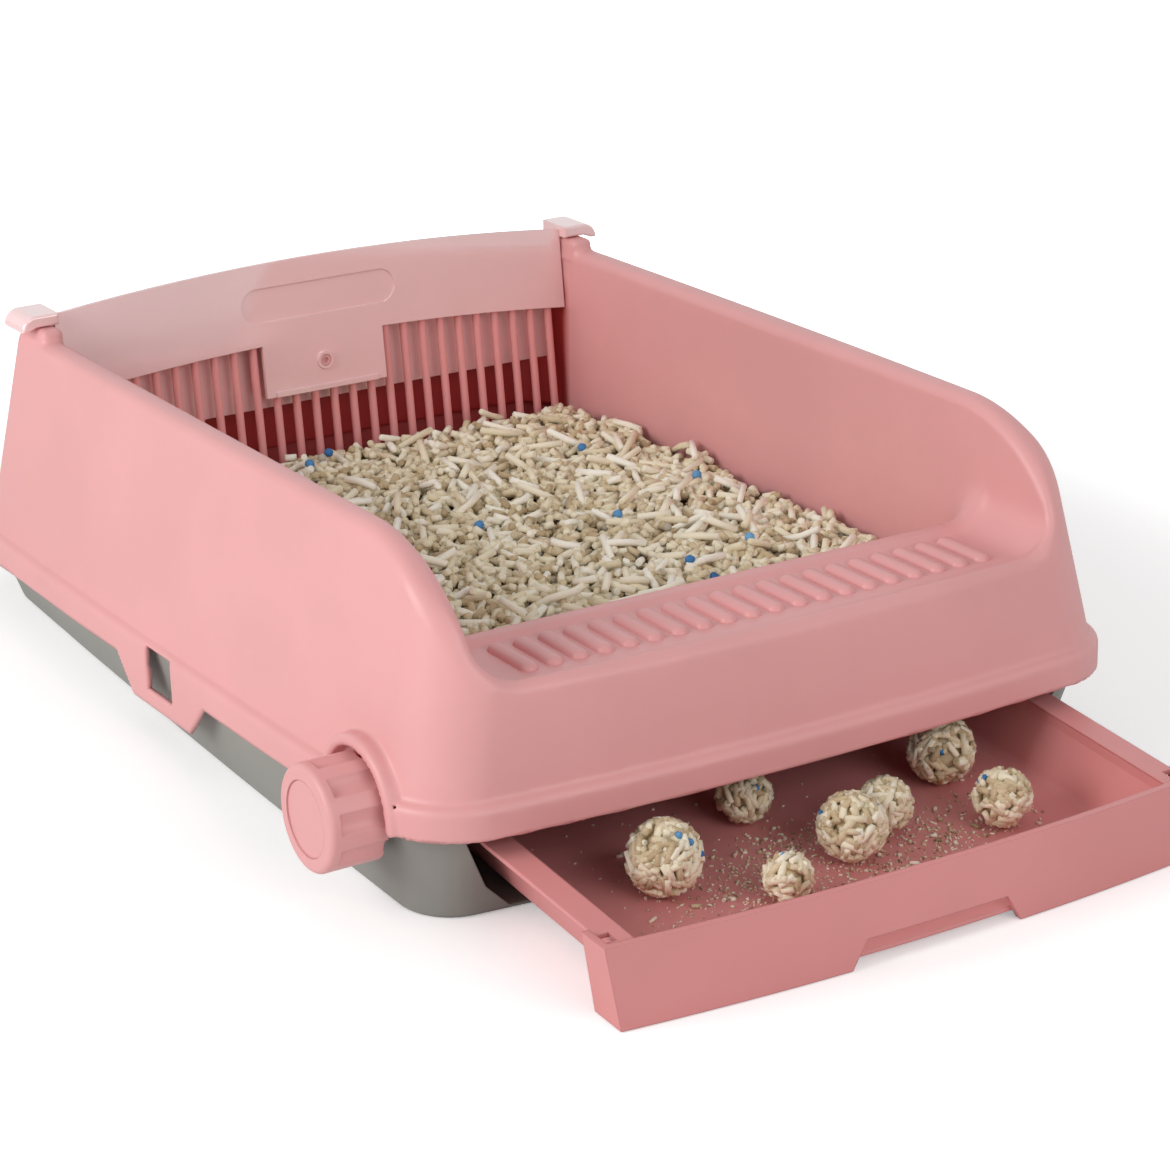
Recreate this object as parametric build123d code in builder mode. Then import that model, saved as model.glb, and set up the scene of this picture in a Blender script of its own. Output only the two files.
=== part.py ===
"""Drawer litter box: a walled upper shell on a tub, with a front clump drawer and a knob-driven gate.

Frame: X to the right, Y to the back, Z up; the tub's flat underside lies on Z = 0 and the front
(the drawer's side) faces -Y.  The upper half falls gently towards the back, so everything above
the parting line is drawn in a tilted frame of its own: x across, v backwards, h square to it.
"""
from build123d import *
from math import cos, pi, radians, sin, tan
import os

os.makedirs("parts", exist_ok=True)

# ---------------------------------------------------------------- driving dimensions (mm, degrees)
split_height = 40.7          # parting line above the floor, at v = 0
split_fall = 3.0             # how much the parting line falls towards the back
skin = 3.0                   # wall of the moulded shells

skirt_half = 215.0           # upper shell, half width over the skirt band
skirt_front = -278.0         # front corners of the skirt
skirt_back = 282.0           # back corners of the skirt
front_bow = 12.0             # how far the front bulges between its corners
back_bow = 10.0
side_bow = 3.4
corner_radius = 40.0
near_corner = 0.4            # share of the side bow that is left beside the knob
past = 1.0                   # how far cutters run past the faces that they cut
band_height = 17.5           # the band round the bottom of the shell
band_ledge = 5.0             # how far the band stands out from the wall
band_round = 4.0             # rounding along the top of the band

wall_top = 135.5             # crest of the side walls above the parting line
side_draft = 11.0            # lean of the outer side walls
front_draft = 6.0
back_draft = 5.0
top_round = 6.0              # rolled edge along the wall tops
cavity_inset = 42.5          # from the outside of the skirt to the inside of the walls, at their tops
cavity_back = 252.0          # inside of the rear wall at the wall tops
cavity_draft = 1.0
cavity_corner = 22.0
cavity_front_bow = 0.5
cavity_bow = 8.0
inner_skirt = 30.0           # the inner wall ends this far above the parting line

step_level = 70.0            # top of the front step
lip_level = 72.4             # front lip of the step
step_back = -198.0           # rear crest of the step
step_lean = 8.0              # slope of the step's rear face
lip_depth = 9.0              # lip measured back from the front wall
lip_corner = 12.0            # rounded front corners of the step
sweep_start = -180.0         # where the wall tops start to curve down to the step
sweep_radius = 100.0
sweep_angle = 58.0
sweep_run = 9.0              # straight run between the two curves
foot_radius = 14.0           # hollow curve that meets the step

rib_count = 20
rib_pitch = 14.3
rib_length = 38.0
rib_width = 9.4
rib_height = 2.2
rib_centre = -236.0

tab_centre = 4.0             # hanging side tabs with a window
tab_top_half = 54.0
tab_foot_half = 36.0
tab_drop = 19.5
window_half = 15.0
window_low = -9.5
window_high = 15.0

nub_height = 6.5             # rounded nubs on the wall tops, under the comb's hooks
nub_width = 13.0
nub_inset = 0.5              # from the inside of the walls
nub_ahead = 8.0              # the nubs start this far in front of the hooks
nub_behind = 2.0
nub_round = 4.0
nub_edge = 2.0

knob_v = -216.0              # knob and shaft axis
knob_h = 4.0
knob_radius = 27.5
knob_length = 31.0
knob_gap = 3.0               # between the knob and the arch round it
knob_back_gap = 1.6          # between the knob's back and the tub's wall
arch_band = 6.0
knob_wall = 3.0
knob_grips = 9
grip_radius = 8.0
grip_depth = 2.6
grip_start = 6.0             # the grips start this far behind the knob's face
cap_radius = 19.5
cap_thickness = 1.6
cap_recess = 2.4
fit_gap = 0.05               # radial clearance of running and seated fits

shaft_radius = 4.0
bush_radius = 6.0
bush_flange = 8.5
bush_flange_thickness = 1.5
boss_radius = 9.0
boss_depth = 16.0
flat_offset = 3.2            # flat on the shaft, measured from its axis
shaft_right = -8.0
hanger_gap = 3.5             # between the pinion and each hanger
hanger_thickness = 3.0
hanger_foot = 14.0
hanger_half = 8.0
hanger_drop = 7.0            # the hangers end this far below the shaft's axis
pinion_x = -22.0             # pinion and rack stand left of the middle
pinion_teeth = 16
gear_module = 1.0
pinion_width = 9.0
tooth_base = 1.9             # tooth thickness at the root
tooth_tip = 0.6
dedendum = 1.25              # tooth depth under the pitch line, in modules
hub_inset = 2.0              # the pinion's hub stays this far, in modules, inside the pitch circle
end_play = 0.5               # between the pinion's hub and each hanger
pilot_depth = 9.0            # screw hole in the end of the shaft
clip_thickness = 1.2
clip_radius = 6.5
clip_groove = 1.0            # depth of ring outside the shaft that the grooves are cut with
clip_mouth = 5.8             # open side of each clip

rim_gap = 3.0                # between the tub rim and the inside of the skirt
rim_front_gap = 9.0
rim_height = 14.5            # rim above the parting line; the shell's ledge sits on it
tub_side_lean = 13.0         # the tub is this much narrower at the floor than at its rim
tub_front_lean = 17.0
tub_back_lean = 14.0
pocket_gap = 1.0             # the knob's pocket is cut this far inside the tub's side
tub_corner = 30.0
tub_edge = 4.0               # rounding along the underside

pan_floor = 16.5             # underside of the litter pan's floor
pan_thickness = 2.5
pan_gap = 1.0                # between the shell's inner wall and the pan
pan_rim = 44.0
flange_gap = 3.0             # between the tub and the flange that the pan's floor runs on as
flange_front = -190.0
flange_back = 232.0
shelf_front = -230.0         # front shelf of the pan, which the shaft hangs from
shelf_half = 34.0
shelf_boss = 8.0
post_inset = 13.0            # posts and their screws, measured from the flange's edge
post_radius = 4.5
post_places = (-170.0, 20.0, 215.0)
pilot_radius = 1.6
screw_radius = 1.55
screw_head_radius = 3.6
screw_head = 2.2
screw_length = 9.0
short_screw = 5.0
drive_radius = 1.6
drive_depth = 1.2
head_gap = 1.0               # round a screw head beside a wall

slot_inset = 36.5            # drop slot behind the step, measured from the inside of the walls
slot_front = -182.0
slot_length = 44.0
gate_side_lap = 5.0          # the gate laps the slot at its ends
gate_lap = 4.0               # the gate laps the slot at its front and back
gate_thickness = 3.3
gate_gap = 0.5               # between the gate and the pan's floor
rail_gap = 0.4
rail_web = 3.0
rail_lip = 5.0
rail_thickness = 2.2
rail_front = -190.0
rail_length = 108.0
rack_half = 4.0
rack_front = -270.0
rack_lap = 22.0              # the rack's foot under the gate
rack_foot = 3.0
rack_holes = (0.25, 0.75)    # the rack's screws, as shares of its foot

litter_top = 39.0            # surface of the litter bed
litter_gap = 1.0             # round the bed
litter_back = 206.0
litter_bow = 0.5
soft_gap = 0.3               # under loose contents
slot_relief = 9.0            # hollow under the bed, over the drop slot

comb_v = 219.5               # front face of the rear panel at comb_h
comb_h = 97.0
comb_lean = 6.0
panel_gap = 1.0              # between the panel and the walls beside it
panel_thickness = 3.0
panel_foot = 97.5            # ends of the panel's lower edge
panel_head = 147.0           # ends of the panel's upper edge
panel_arch = 9.5
label_half = 52.0            # long oval recess, left bare
label_radius = 10.3
label_level = 131.0
label_depth = 1.0
plate_half = 41.0            # centre plate under the panel
plate_foot = 74.5
plate_ledge = 3.0
boss_level = 92.0
boss_ring = 5.5
boss_floor = 1.8             # plate left under the screw's head
bar_count = 26
bar_inset = 10.0             # outermost bars, measured from the panel's ends
bar_radius = 2.5
bar_foot = 23.0
bar_head_gap = 1.0           # between the panel's lower edge and the bars' upper rail
pad_width = 15.5             # pad between the bars that the plate is screwed to
pad_height = 13.0
back_plate_foot = 66.0
back_plate_thickness = 2.4
back_plate_inset = 5.5
back_plate_bow = 0.5
back_plate_gap = 6.0         # between the bars and the back plate
spacer_count = 4
foot_rail = 4.0
hook_length = 27.0
hook_lip = 4.0               # how far the hooks reach past the outside of the walls
hook_rise = 2.5              # top of the hooks above the ends of the panel
hook_curve = 9.0             # outer rounding of the hooks
hook_wall = 3.5
hook_edge = 1.6
hook_gap = 0.6

drawer_front_y = -382.0      # top edge of the open drawer's front, at its ends
front_panel_side = 6.5       # the drawer's front is this much narrower than its opening, at the top
front_panel_taper = 7.5      # and this much narrower again at its foot
front_panel_top = 44.0
front_panel_foot = 0.6
front_panel_lean = 3.0       # the foot stands forward of the top edge
front_panel_bow = 9.0
front_panel_wall = 4.0
front_return = 20.0          # side returns behind the face
hold_centre = 5.0
hold_half = 51.0             # hand-hold in the lower edge
hold_top_half = 42.0
hold_height = 14.5
tray_length = 255.0
tray_fall = 2.3              # the tray's floor falls towards its front
tray_floor_side = 2.0        # between the tray's floor and the opening's foot
tray_rim_side = 12.0         # between the tray's rim and the opening's head
tray_foot = 5.0              # underside of the tray at its front
tray_height = 36.5
tray_wall = 2.5
tray_flange = 8.0
tray_round = 9.0
tray_back_height = 30.0
notch_length = 8.0
notch_back = 10.0            # rim notch, behind the front's top edge
skid_x = 104.0
skid_width = 4.0
skid_gap = 0.4
guide_height = 2.5
guide_gap = 1.0
notch_side = 1.0             # the rim notches stop this far outside the tray's side walls
opening_post = 25.0          # tub wall left beside the drawer's opening, at its head
opening_knee_inset = 17.0    # the opening narrows to its knee and again to its foot
opening_foot_inset = 32.0
opening_knee = 18.0
opening_head = 1.0           # the opening ends this far below the parting line

clump_places = (             # x, y, radius of each clump in the drawer
    (-90.0, -297.0, 20.0),
    (-14.0, -254.0, 15.0),
    (-41.0, -332.0, 13.2),
    (11.0, -313.0, 18.5),
    (43.0, -297.0, 15.0),
    (101.0, -267.0, 18.5),
    (99.0, -321.0, 16.0),
)

# ---------------------------------------------------------------- sizes that follow
cavity_half = skirt_half - cavity_inset
slot_half = cavity_half - slot_inset
skirt_inside = skirt_half - skin
rim_half = skirt_inside - rim_gap
rim_front = skirt_front + skin + rim_front_gap
rim_back = skirt_back - skin - rim_gap
tub_half = rim_half - tub_side_lean
tub_front = rim_front + tub_front_lean
tub_back = rim_back - tub_back_lean
flange_half = rim_half - skin - flange_gap
post_x = flange_half - post_inset
gate_half = slot_half + gate_side_lap
panel_half = cavity_half - panel_gap
bar_half = panel_half - bar_inset
back_plate_half = panel_half - back_plate_inset
opening_head_half = rim_half - opening_post
opening_knee_half = opening_head_half - opening_knee_inset
opening_foot_half = opening_head_half - opening_foot_inset
front_panel_half = opening_head_half - front_panel_side
front_panel_foot_half = front_panel_half - front_panel_taper
tray_floor_half = opening_foot_half - tray_floor_side
tray_rim_half = opening_head_half - tray_rim_side

# ---------------------------------------------------------------- frames
fall = radians(split_fall)
level = Plane(origin=(0, 0, split_height), x_dir=(1, 0, 0), z_dir=(0, sin(fall), cos(fall)))
comb_tilt = radians(comb_lean)
comb_up = level.z_dir * cos(comb_tilt) + level.y_dir * sin(comb_tilt)
comb_back = level.y_dir * cos(comb_tilt) - level.z_dir * sin(comb_tilt)
comb_origin = level.from_local_coords(Vector(0, comb_v - comb_h * tan(comb_tilt), 0))
comb_face = Plane(origin=comb_origin, x_dir=(1, 0, 0), z_dir=-comb_back)
tray_tilt = radians(tray_fall)
tray_back_dir = Vector(0, cos(tray_tilt), sin(tray_tilt))
tray_start = Vector(0, drawer_front_y + front_panel_wall, tray_foot)
tray_front = Plane(origin=tray_start, x_dir=(1, 0, 0), z_dir=-tray_back_dir)


def deck(h):
    """Plane parallel to the parting line, h above it."""
    return level.offset(h)


def side_plane(x):
    """Sketch plane (v, h) that faces +X."""
    return Plane(origin=level.origin + Vector(x, 0, 0), x_dir=level.y_dir, z_dir=(1, 0, 0))


def cross_plane(v):
    """Sketch plane (x, h) that faces the front."""
    return Plane(origin=level.from_local_coords(Vector(0, v, 0)), x_dir=(1, 0, 0), z_dir=-level.y_dir)


def height(vertex):
    """Height of a vertex above the parting line."""
    return level.to_local_coords(Vector(*vertex)).Z


def comb_s(h):
    """Distance along the leaning comb face for a height h."""
    return h / cos(comb_tilt)


def plan(plane, half, front, back, bows, radius):
    """Four bowed sides with rounded corners; bows are (front, side, back)."""
    middle = (front + back) / 2
    with BuildSketch(plane) as outline:
        with BuildLine():
            ThreePointArc((-half, front), (0, front - bows[0]), (half, front))
            ThreePointArc((half, front), (half + bows[1], middle), (half, back))
            ThreePointArc((half, back), (0, back + bows[2]), (-half, back))
            ThreePointArc((-half, back), (-half - bows[1], middle), (-half, front))
        make_face()
        fillet(outline.vertices(), radius)
    return outline.sketch


def skirt_plan(h, inset):
    bows = (front_bow, side_bow, back_bow)
    front = skirt_front + inset
    return plan(deck(h), skirt_half - inset, front, skirt_back - inset, bows, corner_radius - inset)


def wall_plan(h, inset):
    """Outer wall of the shell at height h, moved inwards by inset."""
    rise = h - band_height
    half = skirt_half - band_ledge - rise * tan(radians(side_draft)) - inset
    front = skirt_front + band_ledge + rise * tan(radians(front_draft)) + inset
    back = skirt_back - band_ledge - rise * tan(radians(back_draft)) - inset
    bows = (front_bow, side_bow, back_bow)
    return plan(deck(h), half, front, back, bows, corner_radius - band_ledge - inset)


def cavity_plan(h, grow):
    """Inside of the shell round the litter at height h, moved outwards by grow."""
    drop = (wall_top - h) * tan(radians(cavity_draft))
    front = step_back + (step_level - h) * tan(radians(step_lean)) - grow
    bows = (cavity_front_bow, side_bow / 2, cavity_bow)
    return plan(deck(h), cavity_half - drop + grow, front, cavity_back - drop + grow, bows, cavity_corner)


def above_sweep(drop):
    """Side view of the space above the wall tops and their curve down to the step."""
    far_back = skirt_back + corner_radius
    far_front = skirt_front - corner_radius
    high = wall_top + corner_radius
    with BuildSketch(side_plane(0)) as space:
        with BuildLine():
            crest = Line((far_back, wall_top - drop), (sweep_start, wall_top - drop))
            down = JernArc(crest @ 1, crest % 1, sweep_radius, sweep_angle)
            run = Line(down @ 1, (down @ 1) + (down % 1) * sweep_run)
            foot = JernArc(run @ 1, run % 1, foot_radius, -sweep_angle)
            out = Line(foot @ 1, (far_front, (foot @ 1).Y))
            Polyline(out @ 1, (far_front, high), (far_back, high), crest @ 0)
        make_face()
    return space.sketch


# ---------------------------------------------------------------- upper shell
lip_back = skirt_front + band_ledge + lip_depth
far_ahead = skirt_front - corner_radius
arch_radius = knob_radius + knob_gap + arch_band
skirt_face = skirt_half + side_bow * near_corner
tub_face = rim_half + side_bow * near_corner
pocket_face = tub_face - pocket_gap
hook_v = comb_v + (wall_top - comb_h) * tan(comb_tilt) + hook_length / 4
nub_start = hook_v - hook_length / 2 - nub_ahead
nub_end = hook_v + hook_length / 2 - nub_behind

with BuildPart() as band:
    extrude(skirt_plan(0.0, 0.0), amount=band_height)
    band_edges = band.edges().filter_by(lambda edge: min(map(height, edge.vertices())) > band_height / 2)
    fillet(band_edges, band_round)

with BuildPart() as nubs:
    with BuildSketch(deck(wall_top - skin)):
        for side in (-1, 1):
            with Locations((side * (cavity_half + nub_inset + nub_width / 2), (nub_start + nub_end) / 2)):
                RectangleRounded(nub_width, nub_end - nub_start, nub_round)
    extrude(amount=nub_height + skin)
    fillet(nubs.edges().filter_by(lambda edge: min(map(height, edge.vertices())) > wall_top), nub_edge)

with BuildPart() as hollow:
    loft(sections=[wall_plan(-past, skin), wall_plan(wall_top - 2 * skin, skin)])
    loft(sections=[cavity_plan(inner_skirt, skin), cavity_plan(wall_top + skin, skin)], mode=Mode.SUBTRACT)
    with BuildSketch(deck(step_level - skin)):
        with Locations((0, (far_ahead + step_back) / 2)):
            Rectangle(2 * (cavity_half + skin), step_back - far_ahead)
    extrude(amount=wall_top, mode=Mode.SUBTRACT)
    extrude(above_sweep(skin + past), amount=skirt_half + corner_radius, both=True, mode=Mode.SUBTRACT)

with BuildPart() as upper_shell:
    loft(sections=[wall_plan(0.0, 0.0), wall_plan(wall_top, 0.0)])
    extrude(above_sweep(0.0), amount=skirt_half + corner_radius, both=True, mode=Mode.SUBTRACT)
    top_loop = upper_shell.edges().filter_by(lambda edge: min(map(height, edge.vertices())) > band_height)
    fillet(top_loop - top_loop.filter_by(Axis.X), top_round)
    loft(sections=[cavity_plan(-past, 0.0), cavity_plan(wall_top + skin, 0.0)], mode=Mode.SUBTRACT)
    with BuildSketch(deck(step_level)):
        with Locations((0, (lip_back + step_back + corner_radius) / 2)):
            RectangleRounded(2 * cavity_half, step_back + corner_radius - lip_back, lip_corner)
    extrude(amount=wall_top, mode=Mode.SUBTRACT)
    with BuildSketch(deck(lip_level)):
        with Locations((0, (far_ahead + step_back) / 2)):
            Rectangle(2 * cavity_half - 2 * lip_depth, step_back - far_ahead)
    extrude(amount=wall_top, mode=Mode.SUBTRACT)
    add(hollow.part, mode=Mode.SUBTRACT)
    add(nubs.part)
    add(band.part)
    extrude(skirt_plan(-past, skin), amount=band_height - skin + past, mode=Mode.SUBTRACT)
    extrude(wall_plan(band_height - skin, skin), amount=skin, mode=Mode.SUBTRACT)
    with BuildSketch(deck(step_level)):
        with GridLocations(rib_pitch, 1.0, rib_count, 1):
            with Locations((0, rib_centre)):
                SlotOverall(rib_length, rib_width, rotation=90)
    extrude(amount=rib_height)
    with BuildSketch(side_plane(-skirt_face)):
        with Locations((knob_v, knob_h)):
            Circle(arch_radius)
    extrude(amount=skin + past)
    with BuildSketch(side_plane(-skirt_face)):
        with Locations((knob_v, knob_h)):
            Circle(arch_radius)
        with Locations((knob_v, rim_height - arch_radius)):
            Rectangle(4 * arch_radius, 2 * arch_radius, mode=Mode.SUBTRACT)
    extrude(amount=skirt_face - pocket_face + skin)
    with BuildSketch(side_plane(-skirt_face - skin)):
        with Locations((knob_v, knob_h)):
            Circle(knob_radius + knob_gap)
        with Locations((knob_v, knob_h - arch_radius)):
            Rectangle(2 * (knob_radius + knob_gap), 2 * arch_radius)
        with Locations((knob_v, -arch_radius)):
            Rectangle(2 * arch_radius + skin, 2 * arch_radius)
    extrude(amount=skirt_face + skin - pocket_face, mode=Mode.SUBTRACT)
    for x in (-skirt_half - side_bow, skirt_half + side_bow - skin):
        with BuildSketch(side_plane(x)):
            with BuildLine():
                Polyline(
                    (tab_centre - tab_top_half, past),
                    (tab_centre - tab_top_half, 0.0),
                    (tab_centre - tab_foot_half, -tab_drop),
                    (tab_centre + tab_foot_half, -tab_drop),
                    (tab_centre + tab_top_half, 0.0),
                    (tab_centre + tab_top_half, past),
                    close=True,
                )
            make_face()
        extrude(amount=skin)
    with BuildSketch(side_plane(0)):
        with Locations((tab_centre, (window_low + window_high) / 2)):
            Rectangle(2 * window_half, window_high - window_low)
    extrude(amount=skirt_half + corner_radius, both=True, mode=Mode.SUBTRACT)
upper_shell.part.label = "upper_shell"
export_step(upper_shell.part, "parts/upper_shell.step")

# ---------------------------------------------------------------- tub
tub_bows = (front_bow, side_bow, back_bow)
sunk = 40.0                  # how deep helper solids run past the floor and the drawer's front
inside_corner = tub_corner - skin


def post_points():
    return [(side * post_x, v) for side in (-1, 1) for v in post_places]


with BuildPart() as base_tub:
    foot_plan = plan(Plane.XY, tub_half, tub_front, tub_back, tub_bows, tub_corner)
    rim_plan = plan(deck(rim_height), rim_half, rim_front, rim_back, tub_bows, tub_corner)
    loft(sections=[foot_plan, rim_plan])
    fillet(base_tub.faces().sort_by(Axis.Z)[0].edges(), tub_edge)
    floor = Plane.XY.offset(skin)
    floor_plan = plan(floor, tub_half - skin, tub_front + skin, tub_back - skin, tub_bows, inside_corner)
    mouth = deck(rim_height + past)
    mouth_plan = plan(mouth, rim_half - skin, rim_front + skin, rim_back - skin, tub_bows, inside_corner)
    loft(sections=[floor_plan, mouth_plan], mode=Mode.SUBTRACT)
    with BuildSketch(deck(pan_floor)):
        with Locations(*post_points()):
            Circle(post_radius)
    extrude(amount=-(split_height + sunk))
    with Locations((0, 0, -sunk)):
        Box(2 * skirt_half, 3 * skirt_half, 2 * sunk, mode=Mode.SUBTRACT)
    with BuildSketch(side_plane(-tub_face)):
        with Locations((knob_v, knob_h)):
            Circle(boss_radius)
    extrude(amount=boss_depth)
    with BuildSketch(side_plane(-tub_face)):
        with Locations((knob_v, knob_h)):
            Circle(bush_radius + fit_gap)
    extrude(amount=boss_depth, mode=Mode.SUBTRACT)
    with BuildSketch(deck(pan_floor)):
        with Locations(*post_points()):
            Circle(pilot_radius)
    extrude(amount=-screw_length, mode=Mode.SUBTRACT)
    opening_top = split_height - rim_front * tan(fall) - opening_head
    with BuildSketch(Plane.XZ):
        with BuildLine():
            Polyline(
                (-opening_foot_half, skin),
                (-opening_knee_half, opening_knee),
                (-opening_head_half, opening_top),
                (opening_head_half, opening_top),
                (opening_knee_half, opening_knee),
                (opening_foot_half, skin),
                close=True,
            )
        make_face()
    extrude(amount=skirt_half * 2, mode=Mode.SUBTRACT)
    for x in (-1, 1):
        guide_x = x * (skid_x + skid_width / 2 + guide_gap + skid_width / 2)
        with BuildSketch(Plane.XY.offset(skin)):
            with Locations((guide_x, tub_front / 2)):
                Rectangle(skid_width, -tub_front)
        extrude(amount=guide_height)
base_tub.part.label = "base_tub"
export_step(base_tub.part, "parts/base_tub.step")

# ---------------------------------------------------------------- litter pan and its bed
wall_out = skin + pan_gap + pan_thickness
hanger_reach = pinion_width / 2 + hanger_gap
hanger_screw_x = hanger_reach + hanger_thickness + screw_head_radius + head_gap
slot_middle = slot_front + slot_length / 2
rail_outer = gate_half + rail_gap + rail_web
rail_hole_x = rail_outer + rail_lip
rail_holes = (rail_front + rail_lip * 2, rail_front + rail_length - rail_lip * 2)
rail_points = [(side * rail_hole_x, v) for side in (-1, 1) for v in rail_holes]
hanger_points = [(pinion_x - hanger_screw_x, knob_v), (pinion_x + hanger_screw_x, knob_v)]

with BuildPart() as litter_pan:
    loft(sections=[cavity_plan(pan_floor, wall_out), cavity_plan(pan_rim, wall_out)])
    with BuildSketch(deck(pan_floor)):
        with Locations((0, (flange_front + flange_back) / 2)):
            Rectangle(2 * flange_half, flange_back - flange_front)
        with Locations((pinion_x, (shelf_front + flange_front) / 2)):
            Rectangle(2 * shelf_half, flange_front - shelf_front)
    extrude(amount=pan_thickness)
    pan_inside = cavity_plan(pan_floor + pan_thickness, skin + pan_gap)
    loft(sections=[pan_inside, cavity_plan(pan_rim + past, skin + pan_gap)], mode=Mode.SUBTRACT)
    with BuildSketch(deck(pan_floor)):
        with Locations((0, slot_middle)):
            Rectangle(2 * slot_half, slot_length)
        with Locations(*rail_points):
            Circle(pilot_radius)
    extrude(amount=pan_thickness, mode=Mode.SUBTRACT)
    with BuildSketch(deck(pan_floor + pan_thickness)):
        with Locations(*hanger_points):
            Circle(post_radius)
    extrude(amount=shelf_boss)
    with BuildSketch(deck(pan_floor)):
        with Locations(*hanger_points):
            Circle(pilot_radius)
        with Locations(*post_points()):
            Circle(screw_radius + fit_gap)
    extrude(amount=screw_length, mode=Mode.SUBTRACT)
litter_pan.part.label = "litter_pan"
export_step(litter_pan.part, "parts/litter_pan.step")

with BuildPart() as litter_bed:
    bed_floor = pan_floor + pan_thickness + soft_gap
    bed_half = cavity_half - (wall_top - inner_skirt) * tan(radians(cavity_draft)) - litter_gap
    bed_front = step_back + (step_level - inner_skirt) * tan(radians(step_lean)) + litter_gap
    bed_bows = (litter_bow, litter_bow, litter_bow)
    bed_foot = plan(deck(bed_floor), bed_half, bed_front, litter_back, bed_bows, cavity_corner)
    bed_head = plan(deck(litter_top), bed_half, bed_front, litter_back, bed_bows, cavity_corner)
    loft(sections=[bed_foot, bed_head])
    with BuildSketch(deck(bed_floor)):
        with Locations((0, slot_middle)):
            Rectangle(2 * slot_half, slot_length)
    extrude(amount=slot_relief, mode=Mode.SUBTRACT)
litter_bed.part.label = "litter_bed"
export_step(litter_bed.part, "parts/litter_bed.step")


def screw(plane, points, length):
    """Pan-head screws; the plane holds the underside of the heads and faces away from the hole."""
    with BuildPart() as piece:
        with BuildSketch(plane):
            with Locations(*points):
                Circle(screw_head_radius)
        extrude(amount=screw_head)
        with BuildSketch(plane):
            with Locations(*points):
                Circle(screw_radius)
        extrude(amount=-length)
        with BuildSketch(plane.offset(screw_head)):
            with Locations(*points):
                RegularPolygon(drive_radius, 6)
        extrude(amount=-drive_depth, mode=Mode.SUBTRACT)
    return piece.part


def under(h):
    """Plane at height h that faces down; its local y runs to the front."""
    return Plane(origin=deck(h).origin, x_dir=(1, 0, 0), z_dir=-level.z_dir)


def flip(points):
    return [(x, -v) for x, v in points]


pan_screws = screw(deck(pan_floor + pan_thickness), post_points(), screw_length)
pan_screws.label = "pan_screws"
export_step(pan_screws, "parts/pan_screws.step")

# ---------------------------------------------------------------- gate, rails and rack
gate_top = pan_floor - gate_gap
gate_under = gate_top - gate_thickness
lip_top = gate_under - rail_gap
pitch_radius = gear_module * pinion_teeth / 2
pitch_line = knob_h + pitch_radius
rack_root = pitch_line + dedendum * gear_module
rack_tip = pitch_line - gear_module
gate_front = slot_front - gate_lap
rack_back = gate_front + rack_lap
rack_points = [(pinion_x, gate_front + rack_lap * share) for share in rack_holes]

for side, word in ((-1, "left"), (1, "right")):
    with BuildPart() as rail:
        with BuildSketch(cross_plane(rail_front)):
            with BuildLine():
                Polyline(
                    (side * (rail_outer - rail_web), pan_floor),
                    (side * (rail_outer - rail_web), lip_top),
                    (side * (rail_outer - rail_web - rail_lip), lip_top),
                    (side * (rail_outer - rail_web - rail_lip), lip_top - rail_thickness),
                    (side * rail_outer, lip_top - rail_thickness),
                    (side * rail_outer, pan_floor - rail_thickness),
                    (side * (rail_outer + 2 * rail_lip), pan_floor - rail_thickness),
                    (side * (rail_outer + 2 * rail_lip), pan_floor),
                    close=True,
                )
            make_face()
        extrude(amount=-rail_length)
        with BuildSketch(deck(pan_floor)):
            with Locations(*[(side * rail_hole_x, v) for v in rail_holes]):
                Circle(screw_radius + fit_gap)
        extrude(amount=-rail_thickness, mode=Mode.SUBTRACT)
    rail.part.label = "gate_rail_" + word
    export_step(rail.part, "parts/gate_rail_" + word + ".step")

rail_screws = screw(under(pan_floor - rail_thickness), flip(rail_points), rail_thickness + pan_thickness)
rail_screws.label = "gate_rail_screws"
export_step(rail_screws, "parts/gate_rail_screws.step")

with BuildPart() as gate_plate:
    with BuildSketch(deck(gate_under)):
        with Locations((0, slot_middle)):
            RectangleRounded(2 * gate_half, slot_length + 2 * gate_lap, gate_lap)
    extrude(amount=gate_thickness)
    with BuildSketch(deck(gate_under)):
        with Locations(*rack_points):
            Circle(pilot_radius)
    extrude(amount=short_screw - rack_foot + gate_gap, mode=Mode.SUBTRACT)
gate_plate.part.label = "gate_plate"
export_step(gate_plate.part, "parts/gate_plate.step")

rack_pitch = pi * gear_module
rack_teeth = int((gate_front - rack_front - rack_lap / 2) / rack_pitch)
first_gap = int((knob_v - rack_front) / rack_pitch) - 1
with BuildPart() as gate_rack:
    with BuildSketch(side_plane(pinion_x - rack_half)):
        with BuildLine():
            Polyline(
                (rack_front, rack_root),
                (rack_front, gate_top),
                (gate_front - fit_gap, gate_top),
                (gate_front - fit_gap, gate_under),
                (rack_back, gate_under),
                (rack_back, gate_under - rack_foot),
                (gate_front - rack_foot, gate_under - rack_foot),
                (gate_front - rack_foot, rack_root),
                close=True,
            )
        make_face()
        for index in range(rack_teeth - 1):
            tooth_v = knob_v + (index - first_gap + 0.5) * rack_pitch
            with BuildLine():
                Polyline(
                    (tooth_v - tooth_base / 2, rack_root),
                    (tooth_v - tooth_tip / 2, rack_tip),
                    (tooth_v + tooth_tip / 2, rack_tip),
                    (tooth_v + tooth_base / 2, rack_root),
                    close=True,
                )
            make_face()
    extrude(amount=2 * rack_half)
    with BuildSketch(deck(gate_under)):
        with Locations(*rack_points):
            Circle(screw_radius + fit_gap)
    extrude(amount=-rack_foot, mode=Mode.SUBTRACT)
gate_rack.part.label = "gate_rack"
export_step(gate_rack.part, "parts/gate_rack.step")

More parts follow.
